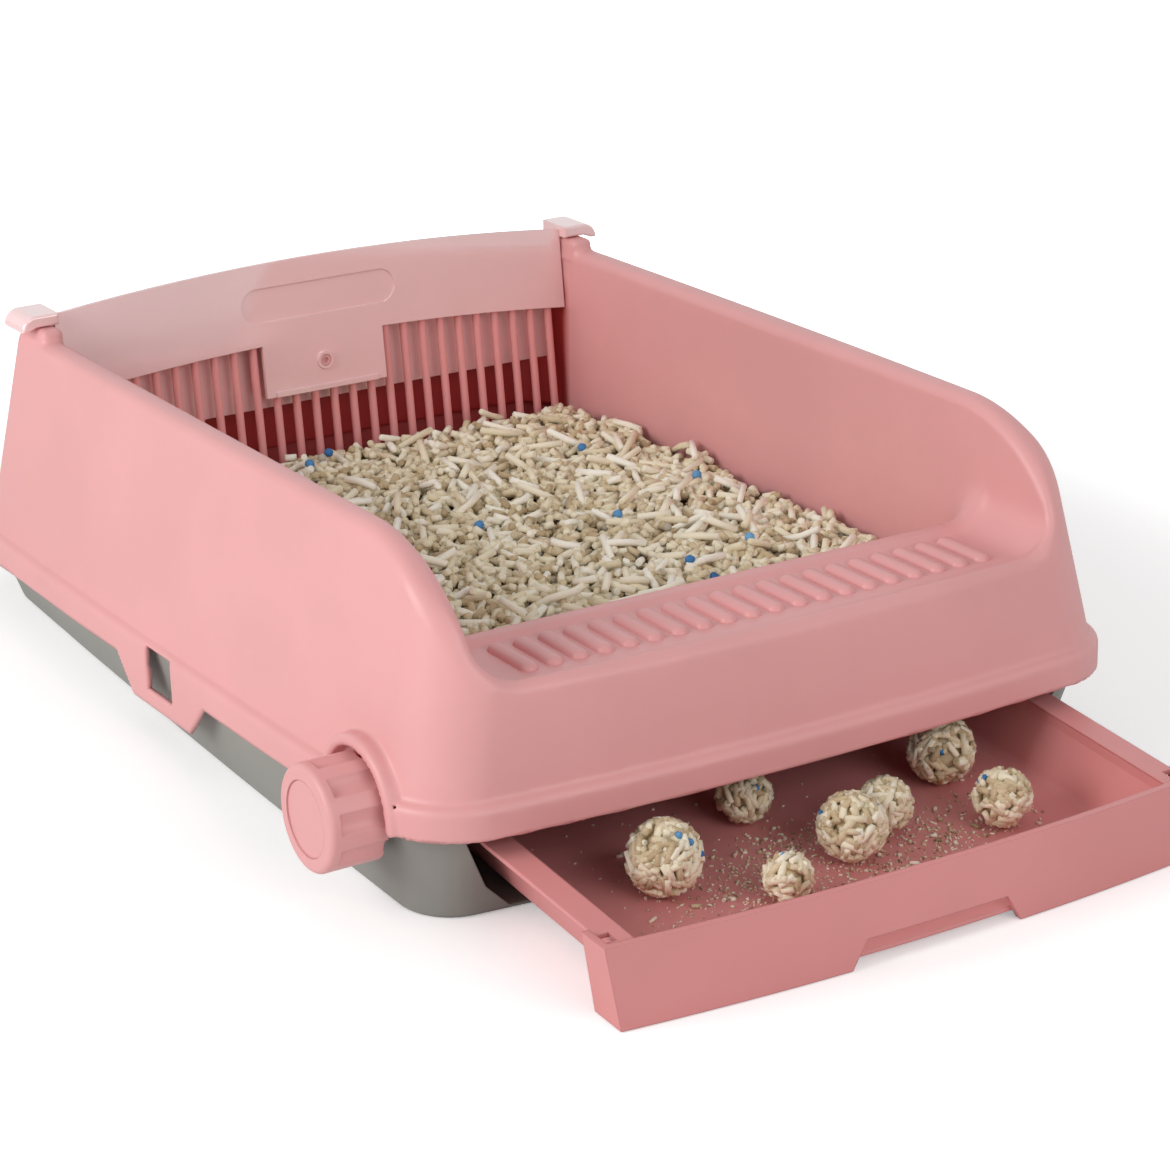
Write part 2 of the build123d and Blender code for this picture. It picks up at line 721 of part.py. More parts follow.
rack_screws = screw(under(gate_under - rack_foot), flip(rack_points), short_screw)
rack_screws.label = "gate_rack_screws"
export_step(rack_screws, "parts/gate_rack_screws.step")

# ---------------------------------------------------------------- shaft, pinion and knob
knob_back_x = -(tub_face + knob_back_gap)
knob_face_x = knob_back_x - knob_length
hub_face_x = knob_face_x + cap_recess + knob_wall
clip_inside_x = -tub_face + boss_depth
hanger_right_x = pinion_x + hanger_reach + hanger_thickness
hub_start = pinion_x - hanger_reach + end_play


def disc(x, radius, length, bore=0.0, flat=False):
    """Round piece along the shaft's axis from x; a flat keys it to the shaft."""
    with BuildPart() as piece:
        with BuildSketch(side_plane(x)):
            with Locations((knob_v, knob_h)):
                Circle(radius)
        extrude(amount=length)
        if bore:
            with BuildSketch(side_plane(x)):
                with Locations((knob_v, knob_h)):
                    Circle(bore)
                if flat:
                    with Locations((knob_v, knob_h + flat_offset + fit_gap + bore)):
                        Rectangle(2 * bore, 2 * bore, mode=Mode.SUBTRACT)
            extrude(amount=length, mode=Mode.SUBTRACT)
    return piece.part


with BuildPart() as knob_shaft:
    add(disc(hub_face_x, shaft_radius, shaft_right - hub_face_x))
    for start, end in ((hub_face_x, knob_back_x), (hub_start, shaft_right)):
        with BuildSketch(side_plane(start)):
            with Locations((knob_v, knob_h + flat_offset + shaft_radius)):
                Rectangle(2 * shaft_radius, 2 * shaft_radius)
        extrude(amount=end - start, mode=Mode.SUBTRACT)
    for x in (clip_inside_x, hanger_right_x):
        groove = disc(x, shaft_radius + clip_groove, clip_thickness + fit_gap, clip_radius / 2 - fit_gap)
        add(groove, mode=Mode.SUBTRACT)
    add(disc(hub_face_x, pilot_radius, pilot_depth), mode=Mode.SUBTRACT)
knob_shaft.part.label = "knob_shaft"
export_step(knob_shaft.part, "parts/knob_shaft.step")

with BuildPart() as shaft_clips:
    for x in (clip_inside_x, hanger_right_x):
        add(disc(x, clip_radius, clip_thickness, clip_radius / 2))
        with BuildSketch(side_plane(x)):
            with Locations((knob_v, knob_h + clip_radius)):
                Rectangle(clip_mouth, 2 * clip_radius)
        extrude(amount=clip_thickness, mode=Mode.SUBTRACT)
shaft_clips.part.label = "shaft_clips"
export_step(shaft_clips.part, "parts/shaft_clips.step")

with BuildPart() as shaft_bush:
    add(disc(-tub_face, bush_radius, boss_depth))
    add(disc(-tub_face - bush_flange_thickness, bush_flange, bush_flange_thickness))
    bush_length = boss_depth + bush_flange_thickness
    add(disc(-tub_face - bush_flange_thickness, shaft_radius + fit_gap, bush_length), mode=Mode.SUBTRACT)
shaft_bush.part.label = "shaft_bush"
export_step(shaft_bush.part, "parts/shaft_bush.step")

root = pitch_radius - dedendum * gear_module
tooth_foot = root - gear_module
with BuildPart() as pinion:
    add(disc(pinion_x - pinion_width / 2, root, pinion_width))
    gear_plane = Plane(
        origin=side_plane(pinion_x - pinion_width / 2).from_local_coords(Vector(knob_v, knob_h)),
        x_dir=level.y_dir,
        z_dir=(1, 0, 0),
    )
    with BuildSketch(gear_plane):
        with PolarLocations(0, pinion_teeth, start_angle=90):
            Polygon(
                (tooth_foot, -tooth_base / 2),
                (root, -tooth_base / 2),
                (pitch_radius + gear_module, -tooth_tip / 2),
                (pitch_radius + gear_module, tooth_tip / 2),
                (root, tooth_base / 2),
                (tooth_foot, tooth_base / 2),
                align=None,
            )
    extrude(amount=pinion_width)
    add(disc(hub_start, pitch_radius - hub_inset * gear_module, 2 * hanger_reach - 2 * end_play))
    with BuildSketch(side_plane(pinion_x - hanger_reach)):
        with Locations((knob_v, knob_h)):
            Circle(shaft_radius + fit_gap)
        with Locations((knob_v, knob_h + flat_offset + fit_gap + shaft_radius)):
            Rectangle(2 * shaft_radius + past, 2 * shaft_radius, mode=Mode.SUBTRACT)
    extrude(amount=2 * hanger_reach, mode=Mode.SUBTRACT)
pinion.part.label = "pinion"
export_step(pinion.part, "parts/pinion.step")

with BuildPart() as shaft_hangers:
    for side in (-1, 1):
        arm_x = pinion_x + side * (hanger_reach + hanger_thickness / 2)
        with BuildSketch(side_plane(arm_x - hanger_thickness / 2)):
            with Locations((knob_v, (pan_floor + knob_h - hanger_drop) / 2)):
                Rectangle(2 * hanger_half, pan_floor - knob_h + hanger_drop)
        extrude(amount=hanger_thickness)
        with BuildSketch(deck(pan_floor - hanger_thickness)):
            with Locations((pinion_x + side * (hanger_reach + hanger_foot / 2), knob_v)):
                Rectangle(hanger_foot, 2 * hanger_half)
        extrude(amount=hanger_thickness)
    with BuildSketch(side_plane(pinion_x - 2 * shelf_half)):
        with Locations((knob_v, knob_h)):
            Circle(shaft_radius + fit_gap)
    extrude(amount=4 * shelf_half, mode=Mode.SUBTRACT)
    with BuildSketch(deck(pan_floor)):
        with Locations(*hanger_points):
            Circle(screw_radius + fit_gap)
    extrude(amount=-hanger_thickness, mode=Mode.SUBTRACT)
shaft_hangers.part.label = "shaft_hangers"
export_step(shaft_hangers.part, "parts/shaft_hangers.step")

hanger_screws = screw(under(pan_floor - hanger_thickness), flip(hanger_points), screw_length)
hanger_screws.label = "hanger_screws"
export_step(hanger_screws, "parts/hanger_screws.step")

hub_radius = shaft_radius + knob_wall
knob_centre = level.from_local_coords(Vector(0, knob_v, knob_h))
with BuildPart() as knob_body:
    add(disc(knob_face_x, knob_radius, knob_length))
    fillet(knob_body.edges().filter_by(GeomType.CIRCLE).sort_by(Axis.X)[0], knob_wall)
    grip_origin = knob_centre + Vector(knob_face_x + grip_start, 0, 0)
    with BuildSketch(Plane(origin=grip_origin, x_dir=level.y_dir, z_dir=(1, 0, 0))):
        with PolarLocations(knob_radius + grip_radius - grip_depth, knob_grips, start_angle=90):
            Circle(grip_radius)
    extrude(amount=knob_length, mode=Mode.SUBTRACT)
    add(disc(knob_face_x, cap_radius + fit_gap, cap_recess), mode=Mode.SUBTRACT)
    rim_inside = knob_radius - grip_depth - knob_wall
    add(disc(hub_face_x, rim_inside, knob_back_x - hub_face_x, hub_radius), mode=Mode.SUBTRACT)
    with BuildSketch(side_plane(hub_face_x)):
        with Locations((knob_v, knob_h)):
            Circle(shaft_radius + fit_gap)
        with Locations((knob_v, knob_h + flat_offset + fit_gap + shaft_radius)):
            Rectangle(2 * shaft_radius + past, 2 * shaft_radius, mode=Mode.SUBTRACT)
    extrude(amount=knob_length, mode=Mode.SUBTRACT)
    add(disc(knob_face_x, screw_radius + fit_gap, knob_length), mode=Mode.SUBTRACT)
    add(disc(knob_face_x, screw_head_radius + fit_gap, cap_recess + screw_head), mode=Mode.SUBTRACT)
knob_body.part.label = "knob_body"
export_step(knob_body.part, "parts/knob_body.step")

knob_cap = disc(knob_face_x + cap_recess - cap_thickness, cap_radius, cap_thickness)
knob_cap.label = "knob_cap"
export_step(knob_cap, "parts/knob_cap.step")

screw_seat = knob_centre + Vector(knob_face_x + cap_recess + screw_head, 0, 0)
knob_screw = screw(Plane(origin=screw_seat, x_dir=level.y_dir, z_dir=(-1, 0, 0)), [(0, 0)], screw_length)
knob_screw.label = "knob_screw"
export_step(knob_screw, "parts/knob_screw.step")

# ---------------------------------------------------------------- rear comb
depth_grille = panel_thickness + bar_radius
bars_back = panel_thickness + 2 * bar_radius
depth_back = bars_back + back_plate_gap
rail_s = comb_s(panel_foot + panel_arch + bar_head_gap)
bar_pitch = 2 * bar_half / (bar_count - 1)


def comb_plane(depth):
    """Plane parallel to the comb's front face, depth behind it."""
    return comb_face.offset(-depth)


def arched(depth, half, foot, head, foot_arch):
    """Panel outline between two heights, arched upwards in the middle."""
    with BuildSketch(comb_plane(depth)) as outline:
        with BuildLine():
            ThreePointArc((-half, comb_s(foot)), (0, comb_s(foot + foot_arch)), (half, comb_s(foot)))
            Line((half, comb_s(foot)), (half, comb_s(head)))
            ThreePointArc((half, comb_s(head)), (0, comb_s(head + panel_arch)), (-half, comb_s(head)))
            Line((-half, comb_s(head)), (-half, comb_s(foot)))
        make_face()
    return outline.sketch


with BuildPart() as rear_panel:
    extrude(arched(0.0, panel_half, panel_foot, panel_head, panel_arch), amount=-panel_thickness)
    with BuildSketch(comb_plane(0.0)):
        with Locations((0, comb_s((plate_foot + panel_foot + panel_arch) / 2))):
            Rectangle(2 * plate_half, comb_s(panel_foot + panel_arch - plate_foot))
    extrude(amount=-panel_thickness)
    with BuildSketch(comb_plane(0.0)):
        with Locations((0, comb_s(label_level))):
            SlotOverall(2 * label_half, 2 * label_radius)
    extrude(amount=-label_depth, mode=Mode.SUBTRACT)
    with BuildSketch(comb_plane(0.0)):
        with Locations((0, comb_s(plate_foot) + plate_ledge / 2)):
            Rectangle(2 * plate_half - 4 * plate_ledge, plate_ledge)
        with Locations((0, comb_s(boss_level))):
            Circle(boss_ring)
    extrude(amount=plate_ledge / 2)
    with BuildSketch(comb_plane(-plate_ledge)):
        with Locations((0, comb_s(boss_level))):
            Circle(screw_head_radius + fit_gap)
    extrude(amount=boss_floor - panel_thickness - plate_ledge, mode=Mode.SUBTRACT)
    with BuildSketch(comb_plane(0.0)):
        with Locations((0, comb_s(boss_level))):
            Circle(screw_radius + fit_gap)
    extrude(amount=-panel_thickness, mode=Mode.SUBTRACT)
rear_panel.part.label = "rear_panel"
export_step(rear_panel.part, "parts/rear_panel.step")

with BuildPart() as comb_grille:
    bar_start = comb_plane(depth_grille).from_local_coords(Vector(0, comb_s(bar_foot)))
    with BuildSketch(Plane(origin=bar_start, x_dir=(1, 0, 0), z_dir=comb_up)):
        with GridLocations(bar_pitch, 1.0, bar_count, 1):
            Circle(bar_radius)
    extrude(amount=rail_s + foot_rail - comb_s(bar_foot))
    with BuildSketch(comb_plane(panel_thickness)):
        for s_level in (comb_s(bar_foot) + foot_rail / 2, rail_s + foot_rail):
            with Locations((0, s_level)):
                Rectangle(2 * bar_half + 2 * bar_radius, foot_rail)
        with Locations((0, comb_s(boss_level))):
            Rectangle(pad_width, pad_height)
    extrude(amount=-2 * bar_radius)
    with BuildSketch(comb_plane(panel_thickness)):
        with Locations((0, comb_s(boss_level))):
            Circle(pilot_radius)
    extrude(amount=-2 * bar_radius, mode=Mode.SUBTRACT)
comb_grille.part.label = "comb_grille"
export_step(comb_grille.part, "parts/comb_grille.step")

with BuildPart() as comb_back_plate:
    back_head = panel_head - panel_arch
    back_outline = arched(depth_back, back_plate_half, back_plate_foot, back_head, back_plate_bow)
    extrude(back_outline, amount=-back_plate_thickness)
    with BuildSketch(comb_plane(bars_back)):
        with GridLocations(2 * bar_half / (spacer_count - 1), 1.0, spacer_count, 1):
            with Locations((0, rail_s + foot_rail)):
                Circle(foot_rail / 2)
    extrude(amount=-back_plate_gap)
comb_back_plate.part.label = "comb_back_plate"
export_step(comb_back_plate.part, "parts/comb_back_plate.step")

boss_seat = comb_plane(panel_thickness - boss_floor).from_local_coords(Vector(0, comb_s(boss_level)))
comb_screw = screw(Plane(origin=boss_seat, x_dir=(1, 0, 0), z_dir=-comb_back), [(0, 0)], short_screw)
comb_screw.label = "comb_screw"
export_step(comb_screw, "parts/comb_screw.step")

wall_rise = wall_top - band_height
hook_out = skirt_half - band_ledge - wall_rise * tan(radians(side_draft)) + side_bow + hook_lip
hook_under = wall_top + nub_height + hook_gap
hook_top = panel_head + hook_rise
hook_foot = hook_top - hook_curve
for side, word in ((-1, "left"), (1, "right")):
    with BuildPart() as hook:
        with BuildSketch(cross_plane(hook_v - hook_length / 2)):
            with BuildLine():
                Polyline(
                    (side * (hook_out - hook_curve), hook_under),
                    (side * panel_half, hook_under),
                    (side * panel_half, hook_top),
                    (side * (hook_out - hook_curve), hook_top),
                )
                RadiusArc(
                    (side * (hook_out - hook_curve), hook_top),
                    (side * hook_out, hook_foot),
                    side * hook_curve,
                )
                Polyline(
                    (side * hook_out, hook_foot),
                    (side * (hook_out - hook_wall), hook_foot),
                    (side * (hook_out - hook_curve), hook_under),
                )
            make_face()
        extrude(amount=-hook_length)
        fillet(hook.faces().sort_by(Axis.Y)[0].edges(), hook_edge)
    hook.part.label = "hook_" + word
    export_step(hook.part, "parts/hook_" + word + ".step")

# ---------------------------------------------------------------- drawer


def front_plan(z, inset, spread, back):
    """Bowed face of the drawer's front at height z; its sides run to y = back, spread further out."""
    share = (z - front_panel_foot) / (front_panel_top - front_panel_foot)
    half = front_panel_foot_half + front_panel_taper * share - inset
    ends = drawer_front_y - front_panel_lean * (1 - share) + inset
    with BuildSketch(Plane.XY.offset(z)) as outline:
        with BuildLine():
            ThreePointArc((-half, ends), (0, ends - front_panel_bow), (half, ends))
            Polyline((half, ends), (half + spread, back), (-half - spread, back), (-half, ends))
        make_face()
    return outline.sketch


return_end = drawer_front_y + front_return

with BuildPart() as drawer_front:
    face_foot = front_plan(front_panel_foot, 0.0, 0.0, return_end)
    face_head = front_plan(front_panel_top, 0.0, 0.0, return_end)
    loft(sections=[face_foot, face_head])
    inside_foot = front_plan(front_panel_foot - past, front_panel_wall, 0.0, return_end + sunk)
    inside_head = front_plan(front_panel_top + past, front_panel_wall, 0.0, return_end + sunk)
    loft(sections=[inside_foot, inside_head], mode=Mode.SUBTRACT)
    with BuildSketch(Plane.XZ.offset(-return_end)):
        with BuildLine():
            Polyline(
                (hold_centre - hold_half, front_panel_foot - past),
                (hold_centre - hold_top_half, front_panel_foot + hold_height),
                (hold_centre + hold_top_half, front_panel_foot + hold_height),
                (hold_centre + hold_half, front_panel_foot - past),
                close=True,
            )
        make_face()
    extrude(amount=sunk + front_return, mode=Mode.SUBTRACT)
drawer_front.part.label = "drawer_front"
export_step(drawer_front.part, "parts/drawer_front.step")


def tray_section(inset, head, open_top):
    """Cross-section of the tray, moved inwards by inset."""
    side = tray_rim_half - tray_flange
    with BuildSketch(tray_front.offset(front_panel_bow + front_panel_lean)) as section:
        with BuildLine():
            Polyline(
                (-side + inset, head + open_top),
                (-tray_floor_half + inset, inset),
                (tray_floor_half - inset, inset),
                (side - inset, head + open_top),
                close=True,
            )
        make_face()
        fillet(section.vertices().group_by(Axis.Z)[0], tray_round - inset)
    return section.sketch


with BuildPart() as drawer_tray:
    reach = tray_length + front_panel_bow + front_panel_lean
    extrude(tray_section(0.0, tray_height, 0.0), amount=-reach)
    for side in (-1, 1):
        with BuildSketch(tray_front.offset(front_panel_bow)):
            with Locations((side * (tray_rim_half - tray_flange), tray_height - tray_wall / 2)):
                Rectangle(2 * tray_flange, tray_wall)
        extrude(amount=-tray_length - front_panel_bow)
    extrude(tray_section(tray_wall, tray_height, tray_wall), amount=-reach + tray_wall, mode=Mode.SUBTRACT)
    with BuildSketch(tray_front.offset(-tray_length + 2 * tray_wall)):
        with Locations((0, tray_back_height + tray_height)):
            Rectangle(2 * (tray_rim_half - 2 * tray_flange), 2 * tray_height)
    extrude(amount=-4 * tray_wall, mode=Mode.SUBTRACT)
    with BuildSketch(tray_front.offset(-notch_back + front_panel_wall)):
        for side in (-1, 1):
            with Locations((side * tray_rim_half, tray_height)):
                Rectangle(2 * tray_flange - 2 * notch_side, 3 * tray_wall)
    extrude(amount=-notch_length, mode=Mode.SUBTRACT)
    skid_start = tray_start.Y + front_return
    skid_end = tray_start.Y + tray_length - tray_wall
    skid_foot = skin + skid_gap
    skid_top = tray_foot + tray_wall / 2
    for side in (-1, 1):
        with BuildSketch(Plane.YZ.offset(side * skid_x - skid_width / 2)):
            with BuildLine():
                Polyline(
                    (skid_start, skid_foot),
                    (skid_end, skid_foot),
                    (skid_end, skid_top + tray_length * sin(tray_tilt)),
                    (skid_start, skid_top + front_return * sin(tray_tilt)),
                    close=True,
                )
            make_face()
        extrude(amount=skid_width)
    space_end = return_end + tray_length + sunk
    space_foot = front_plan(0.0, front_panel_wall, sunk, space_end)
    space_head = front_plan(2 * front_panel_top, front_panel_wall, sunk, space_end)
    loft(sections=[space_foot, space_head], mode=Mode.INTERSECT)
drawer_tray.part.label = "drawer_tray"
export_step(drawer_tray.part, "parts/drawer_tray.step")

with BuildPart() as waste_clumps:
    for x, y, radius in clump_places:
        run = (y - tray_start.Y) / cos(tray_tilt)
        rise = tray_foot + run * sin(tray_tilt) + (tray_wall + soft_gap + radius) / cos(tray_tilt)
        with Locations((x, y, rise)):
            Sphere(radius)
waste_clumps.part.label = "waste_clumps"
export_step(waste_clumps.part, "parts/waste_clumps.step")
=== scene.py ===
"""Looks of the drawer litter box: camera, light, moulded shell, litter, clumps and finishes.

Everything is in metres in the CAD frame.  The upper shell, its ribs and the litter fall gently
towards the back, so their shapes are worked out in a tilted frame (x, v, h) in millimetres and
turned at the end.  What lies in the drawer is worked out in the CAD frame's x, y, z in millimetres.
"""
import math

import bpy
import numpy as np
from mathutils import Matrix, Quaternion, Vector


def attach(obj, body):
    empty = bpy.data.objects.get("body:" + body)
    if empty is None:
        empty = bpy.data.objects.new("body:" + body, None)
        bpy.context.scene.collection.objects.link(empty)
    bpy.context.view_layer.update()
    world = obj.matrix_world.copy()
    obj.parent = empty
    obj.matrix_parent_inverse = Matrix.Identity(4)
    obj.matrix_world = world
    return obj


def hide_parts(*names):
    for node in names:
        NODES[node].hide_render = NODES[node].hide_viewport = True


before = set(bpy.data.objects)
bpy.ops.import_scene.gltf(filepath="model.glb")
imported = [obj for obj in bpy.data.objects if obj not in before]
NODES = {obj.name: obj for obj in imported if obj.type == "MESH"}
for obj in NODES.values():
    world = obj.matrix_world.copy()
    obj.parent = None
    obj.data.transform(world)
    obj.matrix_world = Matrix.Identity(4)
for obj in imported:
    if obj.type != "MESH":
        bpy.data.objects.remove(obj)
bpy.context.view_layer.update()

MM = 0.001
rng = np.random.default_rng(7)

# ---------------------------------------------------------------- tilted frame of the shell
SPLIT_HEIGHT = 40.7
FALL = math.radians(3.0)


def to_world(points):
    """(x, v, h) in millimetres to metres in the CAD frame."""
    p = np.asarray(points, float)
    c, s = math.cos(FALL), math.sin(FALL)
    out = np.empty_like(p)
    out[:, 0] = p[:, 0]
    out[:, 1] = p[:, 1] * c + p[:, 2] * s
    out[:, 2] = SPLIT_HEIGHT - p[:, 1] * s + p[:, 2] * c
    return out * MM


# ---------------------------------------------------------------- helpers for meshes and nodes
def mesh_object(name, vertices, faces, smooth=True):
    """Object from lists of vertices and faces."""
    mesh = bpy.data.meshes.new(name)
    mesh.from_pydata([tuple(v) for v in vertices], [], [tuple(f) for f in faces])
    mesh.update()
    if smooth:
        mesh.polygons.foreach_set("use_smooth", np.ones(len(mesh.polygons), bool))
    piece = bpy.data.objects.new(name, mesh)
    bpy.context.scene.collection.objects.link(piece)
    return piece


def grid_object(name, vertices, quads):
    """Fast mesh from numpy arrays of vertices and quads."""
    mesh = bpy.data.meshes.new(name)
    mesh.vertices.add(len(vertices))
    mesh.vertices.foreach_set("co", np.asarray(vertices, np.float32).ravel())
    mesh.loops.add(quads.size)
    mesh.loops.foreach_set("vertex_index", quads.astype(np.int32).ravel())
    mesh.polygons.add(len(quads))
    mesh.polygons.foreach_set("loop_start", np.arange(0, quads.size, 4, dtype=np.int32))
    mesh.update(calc_edges=True)
    mesh.validate()
    mesh.polygons.foreach_set("use_smooth", np.ones(len(mesh.polygons), bool))
    piece = bpy.data.objects.new(name, mesh)
    bpy.context.scene.collection.objects.link(piece)
    return piece


def tube_faces(rings, spokes):
    """Quads between rings of vertices that follow each other."""
    faces = []
    for k in range(rings - 1):
        for j in range(spokes):
            a, b = k * spokes + j, k * spokes + (j + 1) % spokes
            faces.append((a, b, b + spokes, a + spokes))
    return faces


class Shader:
    """Shorthand for building a Principled material out of procedural nodes."""

    def __init__(self, name, material=None):
        self.material = material or bpy.data.materials.new(name)
        self.material.use_nodes = True
        self.nodes = self.material.node_tree.nodes
        self.links = self.material.node_tree.links
        self.principled = self.nodes["Principled BSDF"]
        self.place = self.nodes.new("ShaderNodeTexCoord").outputs["Object"]

    def set(self, socket, value):
        self.principled.inputs[socket].default_value = value

    def link(self, output, socket):
        self.links.new(output, self.principled.inputs[socket])

    def noise(self, scale, detail=3.0, roughness=0.5):
        node = self.nodes.new("ShaderNodeTexNoise")
        node.inputs["Scale"].default_value = scale
        node.inputs["Detail"].default_value = detail
        node.inputs["Roughness"].default_value = roughness
        self.links.new(self.place, node.inputs["Vector"])
        return node.outputs["Fac"]

    def combine(self, operation, *values):
        """Math node; each value is a number or another node's output."""
        node = self.nodes.new("ShaderNodeMath")
        node.operation = operation
        for socket, value in zip(node.inputs, values):
            if isinstance(value, float):
                socket.default_value = value
            else:
                self.links.new(value, socket)
        return node.outputs[0]

    def attribute(self, name):
        """A number that each vertex of the mesh carries."""
        node = self.nodes.new("ShaderNodeAttribute")
        node.attribute_name = name
        return node.outputs["Fac"]

    def ramp(self, factor, stops):
        node = self.nodes.new("ShaderNodeValToRGB")
        ramp = node.color_ramp
        while len(ramp.elements) < len(stops):
            ramp.elements.new(0.5)
        for element, (at, colour) in zip(ramp.elements, stops):
            element.position = at
            element.color = (*colour, 1.0)
        self.links.new(factor, node.inputs["Fac"])
        return node.outputs["Color"]

    def between(self, factor, low, high):
        node = self.nodes.new("ShaderNodeMapRange")
        node.inputs["To Min"].default_value = low
        node.inputs["To Max"].default_value = high
        self.links.new(factor, node.inputs["Value"])
        return node.outputs["Result"]

    def bump(self, height, strength, distance, normal=None):
        node = self.nodes.new("ShaderNodeBump")
        node.inputs["Strength"].default_value = strength
        node.inputs["Distance"].default_value = distance
        self.links.new(height, node.inputs["Height"])
        if normal is not None:
            self.links.new(normal, node.inputs["Normal"])
        return node.outputs["Normal"]

    def soft_edges(self, radius):
        node = self.nodes.new("ShaderNodeBevel")
        node.samples = 6
        node.inputs["Radius"].default_value = radius
        return node.outputs["Normal"]


def srgb(hex_colour):
    """Linear colour of a #RRGGBB value."""
    parts = [int(hex_colour[i:i + 2], 16) / 255 for i in (1, 3, 5)]
    return tuple(c / 12.92 if c <= 0.04045 else ((c + 0.055) / 1.055) ** 2.4 for c in parts)


MOTTLING, MOTTLE_SCALE = 0.035, 9.0             # share of the colour, and patches to the metre
MOTTLE_LOW, MOTTLE_HIGH = 0.35, 0.65            # noise levels of the darkest and the lightest patch


def mottled(colour):
    """Darkest and lightest tint of a moulded colour."""
    base = np.array(srgb(colour))
    return tuple(base * (1 - MOTTLING)), tuple(np.minimum(base * (1 + MOTTLING), 1))


def moulded(name, colour, roughness, edge=0.0012, grain=0.15, clear=0.0):
    """Moulded plastic: faint mottling, fine grain and softened edges."""
    s = Shader(name)
    low, high = mottled(colour)
    patches = s.noise(MOTTLE_SCALE, detail=4.0)
    s.link(s.ramp(patches, ((MOTTLE_LOW, low), (MOTTLE_HIGH, high))), "Base Color")
    sheen = s.noise(scale=60.0, detail=4.0)
    s.link(s.between(sheen, roughness - 0.05, roughness + 0.06), "Roughness")
    normal = s.soft_edges(edge) if edge else None
    fine = s.noise(scale=1900.0, detail=2.0)
    s.link(s.bump(fine, strength=grain, distance=0.00006, normal=normal), "Normal")
    s.set("IOR", 1.47)
    s.set("Subsurface Weight", 0.08)
    s.set("Subsurface Radius", (0.004, 0.0015, 0.0012))
    s.set("Coat Weight", clear)
    s.set("Coat Roughness", 0.05)
    s.set("Coat IOR", 2.1)
    return s.material


def moulded_shell(name, colour, painted_shade_colour, roughness):
    """The shell's plastic; its 'pocket' attribute paints shade, as a deeper red, onto the walls
    behind the comb.
    """
    material = moulded(name, colour, roughness, edge=0.0)
    s = Shader(name, material)
    low, high = mottled(colour)
    share = 0.1                                 # the ramp's part that is left to the mottling
    stops = (share * MOTTLE_LOW, low), (share * MOTTLE_HIGH, high), (1.0, srgb(painted_shade_colour))
    patches = s.noise(MOTTLE_SCALE, detail=4.0)
    place = s.combine("MULTIPLY_ADD", patches, share, s.attribute("pocket"))
    s.link(s.ramp(place, stops), "Base Color")
    return material


def metal(name, colour, roughness):
    """Plated metal with a slightly uneven shine."""
    s = Shader(name)
    s.set("Base Color", (*srgb(colour), 1))
    s.set("Metallic", 1.0)
    sheen = s.noise(scale=900.0, detail=2.0)
    s.link(s.between(sheen, roughness - 0.06, roughness + 0.1), "Roughness")
    return s.material


def crumbly(name, stops, roughness=0.85):
    """Pressed plant matter; each pellet's own tone comes from its 'tone' attribute."""
    s = Shader(name)
    fibres, shift = s.noise(scale=1400.0, detail=5.0, roughness=0.7), 0.30
    tone = s.combine("MULTIPLY_ADD", fibres, shift, s.attribute("tone"))
    s.link(s.ramp(tone, stops), "Base Color")
    s.set("Roughness", roughness)
    s.set("Subsurface Weight", 0.05)
    s.set("Subsurface Radius", (0.002, 0.0014, 0.0008))
    grit = s.noise(scale=2600.0, detail=4.0, roughness=0.7)
    s.link(s.bump(grit, strength=0.5, distance=0.0003), "Normal")
    return s.material


SHELL = moulded("shell_plastic", "#E2A3A2", 0.40)
# shell_face is the shell's plastic with painted shade: a deep red on the walls behind the comb
SHELL_FACE = moulded_shell("shell_face", "#E2A3A2", "#B23C3A", 0.40)
PANEL = moulded("panel_plastic", "#F5CBCB", 0.14, edge=0.0008, grain=0.04, clear=0.8)
COMB = moulded("comb_plastic", "#EDA1A0", 0.30)
DRAWER = moulded("drawer_plastic", "#DB908E", 0.36)
TUB = moulded("tub_plastic", "#92918B", 0.50, grain=0.3)
# Deep red: painted shade, for the pan that shows only in the dark gap behind the comb; gate parts
# and hangers share it
PAN = moulded("pan_plastic", "#B4504F", 0.5)
GEAR = moulded("gear_plastic", "#DEDBD0", 0.4)
STEEL = metal("plated_steel", "#B9B9BA", 0.3)
PELLET = crumbly("pellet", (
    (0.10, srgb("#6F5437")), (0.32, srgb("#CDB893")), (0.58, srgb("#F1E6C9")),
    (1.0, srgb("#FFFBEE")),
))
GRANULE = crumbly("granule", (
    (0.10, srgb("#6B6252")), (0.45, srgb("#A79D8B")), (1.0, srgb("#D5CEBF"))
))
BEAD = crumbly("blue_bead", (
    (0.10, srgb("#1B4F86")), (0.55, srgb("#2F76B4")), (1.0, srgb("#6FA9D6"))
), roughness=0.6)
# A dark sheet under the pellets: painted shade, for the shade in the gaps between them
UNDER_SHADE = crumbly("painted_shade_under_pellets", (
    (0.10, srgb("#584731")), (0.50, srgb("#8A7553")), (1.0, srgb("#B39D76"))
))

FINISHES = {                 # by CAD node; what isn't named here is a steel screw, shaft or clip
    "upper_shell": SHELL, "knob_body": SHELL, "knob_cap": SHELL, "comb_screw": SHELL,
    "hook_left": PANEL, "hook_right": PANEL, "rear_panel": PANEL, "comb_back_plate": PANEL,
    "comb_grille": COMB,
    "drawer_tray": DRAWER, "drawer_front": DRAWER, "base_tub": TUB, "litter_pan": PAN,
    "gate_plate": PAN, "gate_rail_left": PAN, "gate_rail_right": PAN, "shaft_hangers": PAN,
    "gate_rack": GEAR, "pinion": GEAR, "shaft_bush": GEAR,
}
for name, node in NODES.items():
    node.data.materials.clear()
    node.data.materials.append(FINISHES.get(name, STEEL))

